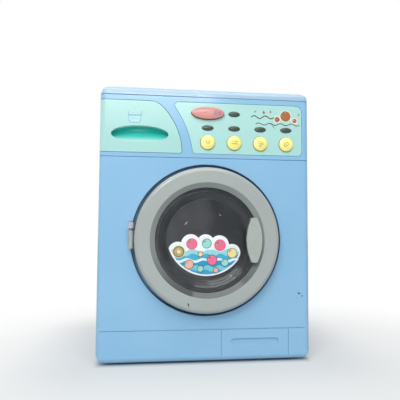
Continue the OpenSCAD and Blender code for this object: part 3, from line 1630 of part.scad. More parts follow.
placed() front_housing();
placed() rear_housing();
placed() top_cover();
placed() control_fascia();
placed() control_panel();
placed() start_button();
placed() program_button(1);  // program_button_1
placed() program_button(2);  // program_button_2
placed() program_button(3);  // program_button_3
placed() program_button(4);  // program_button_4
placed() lamp_lens(4);  // start_lamp_lens
placed() lamp_lens(0);  // program_lamp_lens_1
placed() lamp_lens(1);  // program_lamp_lens_2
placed() lamp_lens(2);  // program_lamp_lens_3
placed() lamp_lens(3);  // program_lamp_lens_4
placed() keypad_mat();
placed() control_board();
placed() indicator_leds();
placed() detergent_drawer();
placed() drawer_guide();
placed() door_ring();
placed() door_back_ring();
placed() door_window();
placed() door_handle();
placed() door_latch();
placed() door_sticker();
placed() hinge_bracket();
placed() hinge_pin();
placed() hinge_screws();
placed() tub();
placed() drum();
placed() drum_shaft();
placed() drum_bush();
placed() drum_gear();
placed() idler_gear();
placed() idler_axle();
placed() motor_pinion();
placed() motor_shaft();
placed() motor_can();
placed() gear_plate();
placed() battery_box();
placed() battery_cover();
placed() battery_contacts();
placed() battery_cells();
placed() battery_cover_screws();
placed() speaker();
placed() speaker_ring();
placed() power_switch_body();
placed() power_switch_slider();
placed() feet();
placed() housing_screws();
placed() tub_screws();
placed() door_screws();
placed() board_screws();
placed() gear_plate_screws();
placed() motor_screws();
placed() speaker_screws();
placed() wiring();
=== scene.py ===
from math import cos, hypot, pi, radians, sin, sqrt

import bmesh
import bpy
from mathutils import Matrix, Vector


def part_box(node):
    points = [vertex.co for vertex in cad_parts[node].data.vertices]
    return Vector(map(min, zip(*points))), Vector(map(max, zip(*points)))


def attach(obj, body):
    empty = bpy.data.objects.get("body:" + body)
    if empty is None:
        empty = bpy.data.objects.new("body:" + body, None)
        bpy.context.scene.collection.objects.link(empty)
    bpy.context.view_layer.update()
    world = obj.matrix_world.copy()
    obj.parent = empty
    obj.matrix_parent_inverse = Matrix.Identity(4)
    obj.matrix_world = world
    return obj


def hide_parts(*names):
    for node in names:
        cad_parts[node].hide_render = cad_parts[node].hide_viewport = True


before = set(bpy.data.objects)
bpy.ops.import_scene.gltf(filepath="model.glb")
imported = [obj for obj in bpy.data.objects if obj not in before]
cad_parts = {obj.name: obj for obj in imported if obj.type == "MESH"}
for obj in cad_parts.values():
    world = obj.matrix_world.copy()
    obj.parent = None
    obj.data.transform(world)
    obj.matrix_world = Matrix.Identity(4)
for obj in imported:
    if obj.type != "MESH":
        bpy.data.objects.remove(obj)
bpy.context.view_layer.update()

# View
# The camera stands 39 cm in front of the toy at half its height, a little left of its middle.
# It looks slightly up, so that neither side wall shows and the body narrows towards its right.
picture_width = 400
sensor_width = 36
focal_length = 416.86 * sensor_width / picture_width
camera_place = Vector((-0.05016, -0.44696, 0.12939))
camera_turn = radians(6.459)
camera_tilt = radians(3.167)
camera_roll = radians(0.386)

ahead = Vector((sin(camera_turn) * cos(camera_tilt), cos(camera_turn) * cos(camera_tilt), sin(camera_tilt)))
level_right = Vector((cos(camera_turn), -sin(camera_turn), 0))
level_up = level_right.cross(ahead)
right = cos(camera_roll) * level_right + sin(camera_roll) * level_up
up = cos(camera_roll) * level_up - sin(camera_roll) * level_right
camera_data = bpy.data.cameras.new("camera")
camera_data.sensor_fit = "HORIZONTAL"
camera_data.sensor_width = sensor_width
camera_data.lens = focal_length
camera = bpy.data.objects.new("camera", camera_data)
camera.matrix_world = Matrix.Translation(camera_place) @ Matrix((right, up, -ahead)).transposed().to_4x4()
bpy.context.scene.collection.objects.link(camera)
bpy.context.scene.camera = camera
bpy.context.scene.view_settings.view_transform = "Standard"

# Studio floor
# A wide sheet of pale paper under the toy. It keeps the toy's soft shadow close by, where a painted
# soft shadow also dims its glow, and fades into the white background further off.
floor_radius = 3.0
paper = (0.56, 0.605, 0.62)
paper_glow = 0.58
glow_centre = (0.03, -0.12, 0)
fade_start = 0.12
fade_end = 0.42
# Around the toy's footprint the paper's glow is dimmed as a painted soft shadow. It is off under the toy and
# along a narrow painted contact line at its edge.
footprint_centre = (0, 0.006, 0)
footprint_half = (0.097, 0.063, 1)
painted_shadow_reach = 0.10
painted_shadow_share = 0.56
contact_shadow_width = 0.006


def add_node(tree, kind, inputs=None, **options):
    """Adds a shader node. An input is given a number or colour, or linked to a socket."""
    node = tree.nodes.new("ShaderNode" + kind)
    for name, value in options.items():
        setattr(node, name, value)
    for name, value in (inputs or {}).items():
        if isinstance(value, bpy.types.NodeSocket):
            tree.links.new(value, node.inputs[name])
        else:
            node.inputs[name].default_value = value
    return node


def new_material(name):
    material = bpy.data.materials.new(name)
    material.use_nodes = True
    tree = material.node_tree
    return material, tree, tree.nodes["Principled BSDF"]


def mesh_object(name, points, faces, smooth=True):
    """A mesh object whose faces all look outwards."""
    mesh = bpy.data.meshes.new(name)
    mesh.from_pydata([tuple(p) for p in points], [], faces)
    body = bmesh.new()
    body.from_mesh(mesh)
    bmesh.ops.remove_doubles(body, verts=body.verts, dist=1e-7)
    bmesh.ops.recalc_face_normals(body, faces=body.faces)
    body.to_mesh(mesh)
    body.free()
    mesh.polygons.foreach_set("use_smooth", [smooth] * len(mesh.polygons))
    made = bpy.data.objects.new(name, mesh)
    bpy.context.scene.collection.objects.link(made)
    return made


def reckon(tree, way, *values):
    """A sum, product or the like of numbers and sockets."""
    return add_node(tree, "Math", dict(enumerate(values)), operation=way).outputs["Value"]


def times(tree, first, second):
    return reckon(tree, "MULTIPLY", first, second)


def ramp(tree, value, low, high, before=0.0, after=1.0, shape="LINEAR"):
    """Runs evenly from one value to another while its input goes from low to high."""
    return add_node(tree, "MapRange", {"Value": value, "From Min": low, "From Max": high,
                                       "To Min": before, "To Max": after},
                    interpolation_type=shape).outputs["Result"]


def step(tree, value, low, high, before=0.0, after=1.0):
    """Like ramp, but eased at both ends."""
    return ramp(tree, value, low, high, before, after, "SMOOTHSTEP")


def seen_directly(tree):
    """1 for what the camera sees, also through clear plastic, and 0 for any other light."""
    rays = add_node(tree, "LightPath").outputs
    return reckon(tree, "MAXIMUM", rays["Is Camera Ray"], rays["Is Transmission Ray"])


def paper_material():
    material, tree, shader = new_material("studio_paper")
    shader.inputs["Base Color"].default_value = (*paper, 1)
    shader.inputs["Roughness"].default_value = 0.9
    shader.inputs["Specular IOR Level"].default_value = 0.1
    place = add_node(tree, "TexCoord").outputs["Object"]
    far = add_node(tree, "VectorMath", {0: place, 1: glow_centre}, operation="DISTANCE").outputs["Value"]
    fade = step(tree, far, fade_start, fade_end, paper_glow, 1.0)
    away = place
    for way, other in (("SUBTRACT", footprint_centre), ("ABSOLUTE", None), ("SUBTRACT", footprint_half),
                       ("MAXIMUM", (0, 0, 0)), ("LENGTH", None)):
        inputs = {0: away} if other is None else {0: away, 1: other}
        outputs = add_node(tree, "VectorMath", inputs, operation=way).outputs
        away = outputs["Value" if way == "LENGTH" else "Vector"]
    # Painted shadow: the glow fades out towards the toy's footprint.
    painted_floor_shadow = times(tree, step(tree, away, 0.0, contact_shadow_width),
                   step(tree, away, 0.0, painted_shadow_reach, painted_shadow_share, 1.0))
    amount = times(tree, times(tree, fade, painted_floor_shadow), seen_directly(tree))
    white = add_node(tree, "Emission", {"Color": (1, 1, 1, 1), "Strength": 1.0}).outputs["Emission"]
    both = add_node(tree, "MixShader", {"Fac": amount})
    tree.links.new(shader.outputs["BSDF"], both.inputs[1])
    tree.links.new(white, both.inputs[2])
    tree.links.new(both.outputs["Shader"], tree.nodes["Material Output"].inputs["Surface"])
    return material


sides = 96
turns = [2 * pi * i / sides for i in range(sides)]
floor = mesh_object("floor", [(floor_radius * cos(a), floor_radius * sin(a), 0) for a in turns],
                    [list(range(sides))], smooth=False)
floor.data.materials.append(paper_material())

# Studio light
# A wide soft light overhead, a panel whose glare lies on the toy's upper left, a small lamp at the
# upper left that draws bright lines along rounded edges, and a dim card for the door's window.
overhead_level = 2.95
panel_level = 3.0
strip_level = 11.0
card_level = 0.55
lamp_level = 26.0
surround_level = 0.42
room_level = 0.16


def soft_light(name, place, size, level, target):
    """A rectangular light of an even brightness, turned towards its target."""
    light = bpy.data.lights.new(name, "AREA")
    light.shape = "RECTANGLE"
    light.size, light.size_y = size
    light.energy = pi * size[0] * size[1] * level
    holder = bpy.data.objects.new(name, light)
    holder.location = place
    holder.rotation_euler = (Vector(target) - Vector(place)).to_track_quat("-Z", "Y").to_euler()
    bpy.context.scene.collection.objects.link(holder)


soft_light("overhead_light", (-0.10, -0.62, 1.05), (1.1, 0.8), overhead_level, (0, 0, 0.13))
soft_light("glare_panel", (-0.04, -0.95, 0.53), (0.40, 0.18), panel_level, (-0.04, 0, 0.53))
soft_light("glare_strip", (-0.05, -0.94, 0.53), (0.34, 0.026), strip_level, (-0.05, 0, 0.53))
soft_light("corner_lamp", (-0.45, -0.88, 0.76), (0.44, 0.09), lamp_level, (0, 0, 0.13))
soft_light("pale_card", (-0.01, -0.95, 0.10), (0.26, 0.34), card_level, (-0.01, 0, 0.10))

world = bpy.data.worlds.new("surroundings")
bpy.context.scene.world = world
world.use_nodes = True
sky = world.node_tree
facing = add_node(sky, "TexCoord").outputs["Generated"]
front_to_back = add_node(sky, "SeparateXYZ", {"Vector": facing}).outputs["Y"]
mirrored = ramp(sky, front_to_back, -0.35, 0.25, room_level, 1.0)
glossy_ray = add_node(sky, "LightPath").outputs["Is Glossy Ray"]
unseen = add_node(sky, "Mix", {0: glossy_ray, 2: surround_level, 3: mirrored}).outputs[0]
level = add_node(sky, "Mix", {0: seen_directly(sky), 2: unseen, 3: 1.0}).outputs[0]
sky.links.new(level, sky.nodes["Background"].inputs["Strength"])
sky.nodes["Background"].inputs["Color"].default_value = (1, 1, 1, 1)

# Deep navy shade is painted on the narrow wall of the door's round pocket.
# Blue casings
# The front and rear casings, the top cover and the control fascia are thin glossy mouldings
# of pale blue plastic, with a faint moulded grain, slight sink marks and a few dark scuffs.
# The battery cover is the same plastic.


def shade(red, green, blue):
    """A colour read off a colour chart, 0 to 255, as a linear shader colour."""
    def linear(level):
        level /= 255
        return level / 12.92 if level <= 0.04045 else ((level + 0.055) / 1.055) ** 2.4
    return (linear(red), linear(green), linear(blue), 1)


def mixed(tree, amount, first, second, way="MIX"):
    """The mix of two colours, each a colour or a socket."""
    node = add_node(tree, "Mix", data_type="RGBA", blend_type=way)
    for index, value in ((0, amount), (6, first), (7, second)):
        if isinstance(value, bpy.types.NodeSocket):
            tree.links.new(value, node.inputs[index])
        else:
            node.inputs[index].default_value = value
    return node.outputs[2]


def noise(tree, place, size, detail=2.0, inputs=None):
    """Smooth noise whose patches are about size across, in metres."""
    settings = {"Vector": place, "Scale": 1 / size, "Detail": detail}
    settings.update(inputs or {})
    return add_node(tree, "TexNoise", settings).outputs["Fac"]


def mark(tree, place, centre, half_length, half_width, angle=0.0, ragged=0.35):
    """1 inside a small ragged oval on the front, 0 outside it."""
    local = add_node(tree, "Mapping", {
        "Vector": place, "Location": centre, "Rotation": (0, angle, 0),
        "Scale": (half_length, 0.02, half_width)}, vector_type="TEXTURE").outputs["Vector"]
    reach = add_node(tree, "VectorMath", {"Vector": local}, operation="LENGTH").outputs["Value"]
    ragged_reach = reckon(tree, "MULTIPLY_ADD", noise(tree, place, 0.0012, 3), ragged, reach)
    return ramp(tree, ragged_reach, 0.75, 1.05, 1.0, 0.0)


def bumped(tree, height, distance, strength, normal=None):
    inputs = {"Height": height, "Distance": distance, "Strength": strength}
    if normal:
        inputs["Normal"] = normal
    return add_node(tree, "Bump", inputs).outputs["Normal"]


def moulded(name, colour, second, roughness=0.3, edge=0.0004, grain=0.0004, grain_depth=0.02,
            wave=0.05, marks=(), tint=None):
    """Moulded plastic: two close shades in clouds, a fine grain, slow waves and softened edges."""
    material, tree, shader = new_material(name)
    place = add_node(tree, "TexCoord").outputs["Object"]
    clouds = step(tree, noise(tree, place, 0.07, 4), 0.3, 0.7)
    colour_now = mixed(tree, clouds, colour, second)
    for centre, half_length, half_width, angle, mark_colour, strength in marks:
        inside = mark(tree, place, centre, half_length, half_width, angle)
        colour_now = mixed(tree, times(tree, inside, strength), colour_now, mark_colour)
    if tint:
        colour_now = tint(tree, place, colour_now)
    tree.links.new(colour_now, shader.inputs["Base Color"])
    gloss = ramp(tree, noise(tree, place, 0.012, 5), 0.3, 0.7, roughness - 0.03, roughness + 0.06)
    tree.links.new(gloss, shader.inputs["Roughness"])
    soft_edge = add_node(tree, "Bevel", {"Radius": edge}, samples=6).outputs["Normal"]
    slow = bumped(tree, noise(tree, place, 0.035, 1), 0.002, wave, soft_edge)
    fine = bumped(tree, noise(tree, place, grain, 2), 0.0002, grain_depth, slow)
    tree.links.new(fine, shader.inputs["Normal"])
    return material


def finish_nodes(material, *names):
    """Gives CAD nodes their material, in every slot of their meshes."""
    for name in names:
        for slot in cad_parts[name].material_slots:
            slot.material = material


front_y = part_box("front_housing")[0].y
door_x = (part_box("door_window")[0].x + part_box("door_window")[1].x) / 2
door_z = (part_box("door_window")[0].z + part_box("door_window")[1].z) / 2
pocket_radius = 0.0706
scuff_dark = shade(52, 60, 80)
# Painted shade colour for the wall of the door's pocket.
pocket_shade_navy = shade(10, 74, 166)


def depth_behind_front(tree, place):
    y = add_node(tree, "SeparateXYZ", {"Vector": place}).outputs["Y"]
    return reckon(tree, "SUBTRACT", y, front_y)


def reach_from(tree, place, x, z, x_scale=1.0, z_scale=1.0):
    """Distance from a point of the front, measured in X and Z only."""
    away = add_node(tree, "Mapping", {"Vector": place, "Location": (x, 0, z),
                                      "Scale": (x_scale, 1e4, z_scale)}, vector_type="TEXTURE")
    return add_node(tree, "VectorMath", {0: away.outputs["Vector"]}, operation="LENGTH").outputs["Value"]


def painted_pocket_shade(tree, place, colour):
    """Painted shade on the narrow wall of the door's round pocket: a deep navy where the wall lies in the gap
    behind the front.
    """
    reach = reach_from(tree, place, door_x, door_z)
    wall = times(tree, step(tree, reach, pocket_radius - 0.0004, pocket_radius - 0.0002),
                 step(tree, reach, pocket_radius + 0.0002, pocket_radius + 0.0005, 1, 0))
    depth = depth_behind_front(tree, place)
    deep = times(tree, step(tree, depth, 0.0002, 0.0026), step(tree, depth, 0.017, 0.019, 0.8, 0.0))
    return mixed(tree, times(tree, wall, deep), colour, pocket_shade_navy)


casing_blue = moulded(
    "casing_blue", shade(140, 188, 222), shade(145, 191, 224), roughness=0.12, wave=0.12, tint=painted_pocket_shade,
    marks=[((0.0893, front_y, 0.0632), 0.0022, 0.0012, 0.2, scuff_dark, 0.8),
           ((0.0922, front_y, 0.0607), 0.0011, 0.0008, -0.4, scuff_dark, 0.9),
           ((0.0868, front_y, 0.0589), 0.0012, 0.0004, 0.5, scuff_dark, 0.5)])
finish_nodes(casing_blue, "front_housing", "rear_housing", "control_fascia", "battery_cover")
cover_blue = moulded("cover_blue", shade(163, 193, 214), shade(168, 196, 216), roughness=0.15, wave=0.12)
finish_nodes(cover_blue, "top_cover")

# Tub and drum
# The plain white tub is screwed to the back of the front casing. The drum inside it is
# moulded in silver-grey plastic, with rows of small holes and three lifters, and turns with
# its steel shaft in a brass bush.
tub_white = moulded("tub_white", shade(214, 218, 220), shade(206, 211, 214), roughness=0.45)
finish_nodes(tub_white, "tub", "gear_plate", "speaker_ring", "drawer_guide")
drum_silver = moulded("drum_silver", shade(150, 154, 160), shade(140, 145, 152), roughness=0.35,
                      grain_depth=0.05)
finish_nodes(drum_silver, "drum")


def metal(name, colour, second, roughness):
    """Drawn or turned metal with fine lines along its length."""
    material, tree, shader = new_material(name)
    place = add_node(tree, "TexCoord").outputs["Object"]
    lines = add_node(tree, "Mapping", {"Vector": place, "Scale": (1, 0.05, 1)}).outputs["Vector"]
    drawn = noise(tree, lines, 0.0006, 3)
    tree.links.new(mixed(tree, drawn, colour, second), shader.inputs["Base Color"])
    shader.inputs["Metallic"].default_value = 1.0
    tree.links.new(ramp(tree, drawn, 0.0, 1.0, roughness, roughness + 0.15), shader.inputs["Roughness"])
    tree.links.new(bumped(tree, drawn, 0.0001, 0.08), shader.inputs["Normal"])
    return material


steel = metal("plated_steel", shade(196, 198, 202), shade(170, 173, 178), 0.25)
finish_nodes(steel, "drum_shaft", "idler_axle", "motor_shaft", "motor_can", "hinge_pin", "hinge_screws",
             "housing_screws", "tub_screws", "door_screws", "board_screws", "gear_plate_screws",
             "motor_screws", "speaker_screws", "battery_cover_screws")
brass = metal("turned_brass", shade(214, 178, 104), shade(190, 150, 84), 0.22)
finish_nodes(brass, "drum_bush", "motor_pinion")
finish_nodes(metal("contact_springs", shade(222, 216, 190), shade(196, 190, 164), 0.2), "battery_contacts")

# Gear train
# Ivory acetal gears between the drum's shaft and the motor. They are moulded, and dulled by
# a film of grease.
gear_ivory = moulded("gear_ivory", shade(236, 230, 206), shade(226, 216, 186), roughness=0.38)
finish_nodes(gear_ivory, "drum_gear", "idler_gear")

# Control board
# A green coated board with copper tracks carries the lamps and the rubber key mat.
# Its leads run to the batteries, the motor, the speaker and the switch.


def board_material():
    material, tree, shader = new_material("coated_board")
    place = add_node(tree, "TexCoord").outputs["Object"]
    tracks = add_node(tree, "TexWave", {"Vector": place, "Scale": 320.0, "Distortion": 6.0, "Detail": 1.0},
                      bands_direction="DIAGONAL").outputs["Fac"]
    lines = ramp(tree, tracks, 0.62, 0.7)
    tree.links.new(mixed(tree, lines, shade(30, 92, 52), shade(64, 132, 74)), shader.inputs["Base Color"])
    tree.links.new(bumped(tree, lines, 0.00004, 0.6), shader.inputs["Normal"])
    shader.inputs["Roughness"].default_value = 0.28
    return material


finish_nodes(board_material(), "control_board")
finish_nodes(moulded("key_mat_rubber", shade(196, 198, 194), shade(186, 188, 184), roughness=0.6),
             "keypad_mat")
finish_nodes(moulded("lamp_red", shade(214, 44, 36), shade(190, 30, 28), roughness=0.12), "indicator_leds")
finish_nodes(moulded("lead_red", shade(190, 32, 28), shade(170, 26, 24), roughness=0.35), "wiring")

# Batteries, speaker and switch
# Three cells in shrink wrap lie across the dark battery box. The speaker and the slide
# switch sit behind the rear casing.
middle_cell = [(0.0328, 0.0332), (0.0478, 0.0482)]


def cell_material():
    """A dark sleeve with a coppery band at its positive end and a bare steel cap.
    The middle cell lies the other way round."""
    material, tree, shader = new_material("cell_wrap")
    place = add_node(tree, "TexCoord").outputs["Object"]
    parts = add_node(tree, "SeparateXYZ", {"Vector": place}).outputs
    turned = times(tree, step(tree, parts["Z"], *middle_cell[0]),
                   step(tree, parts["Z"], *middle_cell[1], 1, 0))
    along = times(tree, parts["X"], step(tree, turned, 0.4, 0.6, 1, -1))
    band = ramp(tree, along, 0.0094, 0.0096)
    colour_now = mixed(tree, band, shade(36, 40, 46), shade(196, 126, 70))
    cap = ramp(tree, along, 0.0236, 0.0238)
    colour_now = mixed(tree, cap, colour_now, shade(200, 202, 206))
    worn = mixed(tree, noise(tree, place, 0.006, 4), colour_now, (0.5, 0.5, 0.5, 1), "OVERLAY")
    tree.links.new(mixed(tree, 0.2, colour_now, worn), shader.inputs["Base Color"])
    tree.links.new(cap, shader.inputs["Metallic"])
    shader.inputs["Roughness"].default_value = 0.25
    return material


finish_nodes(cell_material(), "battery_cells")
black_plastic = moulded("black_plastic", shade(44, 46, 50), shade(38, 40, 43), roughness=0.42,
                        grain_depth=0.06)
finish_nodes(black_plastic, "battery_box", "power_switch_body", "speaker")
finish_nodes(moulded("switch_knob", shade(60, 62, 66), shade(52, 54, 58), roughness=0.35),
             "power_switch_slider")

# Feet
# Four soft rubber pads under the corners of the casings. They are glued on, and lift the toy
# 2 mm off the floor.
finish_nodes(moulded("foot_rubber", shade(46, 47, 50), shade(38, 39, 42), roughness=0.7, grain_depth=0.1),
             "feet")

# Control panel
# A mint plate let into the fascia. It carries the oval start button, four round programme
# buttons, five smoked lamp lenses and a small printed picture of bubbles and waves.
mint = moulded(
    "mint_plastic", shade(170, 217, 212), shade(176, 220, 215), roughness=0.15, wave=0.12,
    marks=[((0.0640, front_y, 0.2236), 0.0056, 0.0006, 0.85, shade(96, 148, 150), 0.85)])
finish_nodes(mint, "control_panel")


def disc(x, z, radius, sides=28):
    turns = [2 * pi * i / sides for i in range(sides)]
    return [[(x + radius * cos(a), z + radius * sin(a)) for a in turns]]


def stroke(path, width, closed=False):
    """A line of even width along a path, as short four-sided pieces with round joints."""
    pieces = []
    ends = list(zip(path, path[1:] + path[:1])) if closed else list(zip(path, path[1:]))
    for (x0, z0), (x1, z1) in ends:
        length = hypot(x1 - x0, z1 - z0)
        across = ((z0 - z1) / length * width / 2, (x1 - x0) / length * width / 2)
        pieces.append([(x0 + across[0], z0 + across[1]), (x0 - across[0], z0 - across[1]),
                       (x1 - across[0], z1 - across[1]), (x1 + across[0], z1 + across[1])])
    for x, z in path:
        pieces += disc(x, z, width / 2, 10)
    return pieces


def circle_line(x, z, radius, width, start=0.0, end=360.0):
    steps = max(6, int((end - start) / 12))
    path = [(x + radius * cos(radians(start + (end - start) * k / steps)),
             z + radius * sin(radians(start + (end - start) * k / steps))) for k in range(steps + 1)]
    return stroke(path, width)


def wave_line(x0, x1, z, height, length, width):
    steps = max(8, int((x1 - x0) / 0.0006))
    path = [(x0 + (x1 - x0) * k / steps, z + height * sin(2 * pi * (x1 - x0) * k / steps / length))
            for k in range(steps + 1)]
    return stroke(path, width)


def drop(x, z, radius):
    outline = [(x + radius * cos(a), z + radius * sin(a)) for a in
               [radians(-220 + 260 * k / 16) for k in range(17)]]
    return [outline + [(x, z + 2.1 * radius)]]


def sparkle(x, z, radius):
    return [[(x + (radius if k % 2 == 0 else radius * 0.32) * cos(pi * k / 4),
              z + (radius if k % 2 == 0 else radius * 0.32) * sin(pi * k / 4)) for k in range(8)]]


def ink(name, colour, second):
    """Screen-printed ink: an even colour with fine mottling, slightly raised and satin."""
    material, tree, shader = new_material(name)
    place = add_node(tree, "TexCoord").outputs["Object"]
    mottle = step(tree, noise(tree, place, 0.0012, 3), 0.3, 0.7)
    tree.links.new(mixed(tree, mottle, colour, second), shader.inputs["Base Color"])
    tree.links.new(ramp(tree, mottle, 0.0, 1.0, 0.28, 0.4), shader.inputs["Roughness"])
    tree.links.new(bumped(tree, mottle, 0.00003, 0.3), shader.inputs["Normal"])
    return material


def printed(name, layers, surface, body):
    """Thin inks on a surface. Each layer, an ink and its outlines, lies on the one before."""
    points, faces, inks, which = [], [], [], []
    for number, (layer_ink, outlines) in enumerate(layers):
        if layer_ink not in inks:
            inks.append(layer_ink)
        lift = 0.00004 + 0.00002 * number
        for outline in outlines:
            first = len(points)
            points += [(x, surface(x, z) - lift, z) for x, z in outline]
            faces.append([first + k for k in range(len(outline))])
            which.append(inks.index(layer_ink))
    mesh = bpy.data.meshes.new(name)
    mesh.from_pydata(points, [], faces)
    for layer_ink in inks:
        mesh.materials.append(layer_ink)
    mesh.polygons.foreach_set("material_index", which)
    turned_inwards = bmesh.new()
    turned_inwards.from_mesh(mesh)
    turned_inwards.normal_update()
    bmesh.ops.reverse_faces(turned_inwards, faces=[f for f in turned_inwards.faces if f.normal.y > 0])
    turned_inwards.to_mesh(mesh)
    turned_inwards.free()
    made = bpy.data.objects.new(name, mesh)
    bpy.context.scene.collection.objects.link(made)
    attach(made, body)


def panel_front(x, z):
    return front_y


brown_ink = ink("brown_ink", shade(176, 112, 72), shade(168, 104, 66))
gold_ink = ink("gold_ink", shade(196, 152, 72), shade(186, 142, 62))
cream_ink = ink("cream_ink", shade(246, 240, 224), shade(250, 246, 234))
bubbles = big_bubble, small_bubble, low_bubble = [
    (0.0768, 0.2334, 0.0052), (0.0684, 0.2300, 0.0027), (0.0858, 0.2292, 0.0022)]
printed("panel_picture", [
    (gold_ink, wave_line(0.0430, 0.0650, 0.2318, 0.0013, 0.0110, 0.0009)
        + sparkle(0.0467, 0.2371, 0.0019) + drop(0.0900, 0.2350, 0.0009)),
    (brown_ink, wave_line(0.0475, 0.0905, 0.2252, 0.0009, 0.0108, 0.0007)
        + drop(0.0552, 0.2362, 0.0012) + drop(0.0618, 0.2371, 0.0009)),
    (cream_ink, [outline for x, z, r in bubbles for outline in disc(x, z, r + 0.0006)]),
    (brown_ink, [outline for x, z, r in bubbles for outline in disc(x, z, r)]),
    (gold_ink, circle_line(*big_bubble[:2], 0.0038, 0.0006, 200, 330)),
    (cream_ink, circle_line(*big_bubble[:2], 0.0037, 0.0008, 95, 165)
        + circle_line(*small_bubble[:2], 0.0015, 0.0005, 95, 165)
        + disc(low_bubble[0] - 0.0006, low_bubble[1] + 0.0006, 0.0004)),
], panel_front, "housing")

# Start button
# A coral oval cap with a straight wall and a low crown, resting on the key mat. It is printed
# with three dots, a violet start sign and two small strokes.


def domed_oval(name, centre, size, back_y, rim_y, dome, fullness=2.6, rings=14, sides=72):
    """An oval cap: a straight side wall and a crown that falls off towards its rim."""
    points = []
    levels = [(1.0, back_y), (1.0, rim_y)]
    for k in range(1, rings + 1):
        reach = cos(pi / 2 * k / rings)
        height = (1 - reach ** fullness) ** (1 / fullness)
        levels.append((reach, rim_y - dome * height))
    for reach, y in levels[:-1]:
        for i in range(sides):
            a = 2 * pi * i / sides
            points.append((centre[0] + size[0] / 2 * reach * cos(a), y,
                           centre[1] + size[1] / 2 * reach * sin(a)))
    points.append((centre[0], levels[-1][1], centre[1]))
    faces = [list(range(sides))]
    for k in range(len(levels) - 2):
        for i in range(sides):
            j = (i + 1) % sides
            faces.append([k * sides + i, k * sides + j, (k + 1) * sides + j, (k + 1) * sides + i])
    last = (len(levels) - 2) * sides
    faces += [[last + i, last + (i + 1) % sides, len(points) - 1] for i in range(sides)]
    return mesh_object(name, points, faces)


def middle(node):
    low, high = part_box(node)
    return (low + high) / 2


def painted_wall_shade(shaded_wall_colour, crown_front):
    """Painted shade for the side wall of a button: a darker colour behind the depth where its crown starts."""
    def tint(tree, place, colour):
        depth = depth_behind_front(tree, place)
        behind = step(tree, depth, crown_front - 0.0003, crown_front + 0.0003)
        return mixed(tree, times(tree, behind, 0.75), colour, shaded_wall_colour)
    return tint


start_size = (0.0312, 0.0115)
start_rim = -0.0021
start_crown = 0.0009
start_fullness = 3.4
start_back = 0.0035
start_at = middle("start_button")
start_cap = domed_oval("start_button_cap", (start_at.x, start_at.z), start_size,
                       front_y + start_back, front_y + start_rim, start_crown, start_fullness)
# Its side wall is painted a darker red-brown as shade.
start_cap.data.materials.append(moulded(
    "coral_plastic", shade(214, 151, 143), shade(210, 143, 135), roughness=0.1,
    tint=painted_wall_shade(shade(150, 66, 54), start_rim + 0.0004)))
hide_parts("start_button")
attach(start_cap, "start_key")


def start_front(x, z):
    reach = min(1.0, hypot((x - start_at.x) / (start_size[0] / 2), (z - start_at.z) / (start_size[1] / 2)))
    return front_y + start_rim - start_crown * (1 - reach ** start_fullness) ** (1 / start_fullness)


violet_ink = ink("violet_ink", shade(140, 112, 176), shade(132, 104, 168))
plum_ink = ink("plum_ink", shade(186, 96, 98), shade(178, 88, 92))
sign_x, sign_z = start_at.x + 0.0072, start_at.z - 0.0002
stroke_up = 0.0014
start_strokes = [stroke([(sign_x + across, sign_z - stroke_up), (sign_x + across, sign_z + stroke_up)], 0.0006)
                 for across in (0.0034, 0.0047)]
start_dots = [disc(start_at.x - across, start_at.z - down, radius, 12) for across, down, radius in
              ((0.0074, 0.0, 0.0005), (0.0048, 0.0003, 0.0004), (0.0022, 0.0, 0.0005))]
printed("start_button_sign", [
    (violet_ink, circle_line(sign_x, sign_z, 0.0016, 0.0005, 120, 420)
        + stroke([(sign_x, sign_z), (sign_x, sign_z + 0.0019)], 0.0005) + sum(start_strokes, [])),
    (plum_ink, sum(start_dots, [])),
], start_front, "start_key")

# Programme buttons
# Four round yellow caps with a low dome, each printed with a small sign of its own: a drop,
# a wave, bubbles and a spin mark.
programme_buttons = ["program_button_1", "program_button_2", "program_button_3", "program_button_4"]
button_rim = 0.0010
button_dome = 0.0017
button_radius = 0.00685
dome_radius = (button_radius ** 2 + button_dome ** 2) / (2 * button_dome)
# Their side walls are painted a darker amber as shade.
finish_nodes(moulded("yellow_plastic", shade(255, 246, 150), shade(252, 240, 136), roughness=0.1,
                     tint=painted_wall_shade(shade(176, 122, 50), -button_rim + 0.0001)), *programme_buttons)
amber_ink = ink("amber_ink", shade(150, 118, 84), shade(140, 108, 74))
lilac_ink = ink("lilac_ink", shade(132, 118, 140), shade(124, 110, 132))


def button_front(button):
    centre = middle(button)

    def front(x, z):
        reach = min(button_radius, hypot(x - centre.x, z - centre.z))
        return front_y - button_rim - button_dome + dome_radius - sqrt(dome_radius ** 2 - reach ** 2)
    return front


line_width = 0.0005


def drop_line(x, z):
    corners = [(0.0, 0.0031), (-0.0015, 0.0008), (-0.0014, -0.0006),
               (0.0, -0.0013), (0.0014, -0.0006), (0.0015, 0.0008)]
    return stroke([(x + across, z + over) for across, over in corners], line_width, closed=True)


def two_waves(x, z):
    return [piece for over in (0.0013, -0.0008)
            for piece in wave_line(x - 0.0030, x + 0.0030, z + over, 0.0006, 0.0030, line_width)]


def three_bubbles(x, z):
    return [piece for across, over, radius in ((-0.0012, 0.0009, 0.0012), (0.0015, -0.0001, 0.0009),
                                               (-0.0005, -0.0021, 0.0008))
            for piece in circle_line(x + across, z + over, radius, 0.0004)]


def spin_mark(x, z):
    """A spiral of one and a half turns."""
    steps, radius, turn = 26, 0.0029, 0.42
    return stroke([(x + radius * k / steps * cos(turn * k), z + radius * k / steps * sin(turn * k))
                   for k in range(3, steps + 1)], line_width)


for button, sign, sign_ink in zip(programme_buttons, [drop_line, two_waves, three_bubbles, spin_mark],
                                  [amber_ink, amber_ink, lilac_ink, amber_ink]):
    at = middle(button)
    printed(button + "_sign", [(sign_ink, sign(at.x, at.z))], button_front(button),
            button.replace("button", "key"))

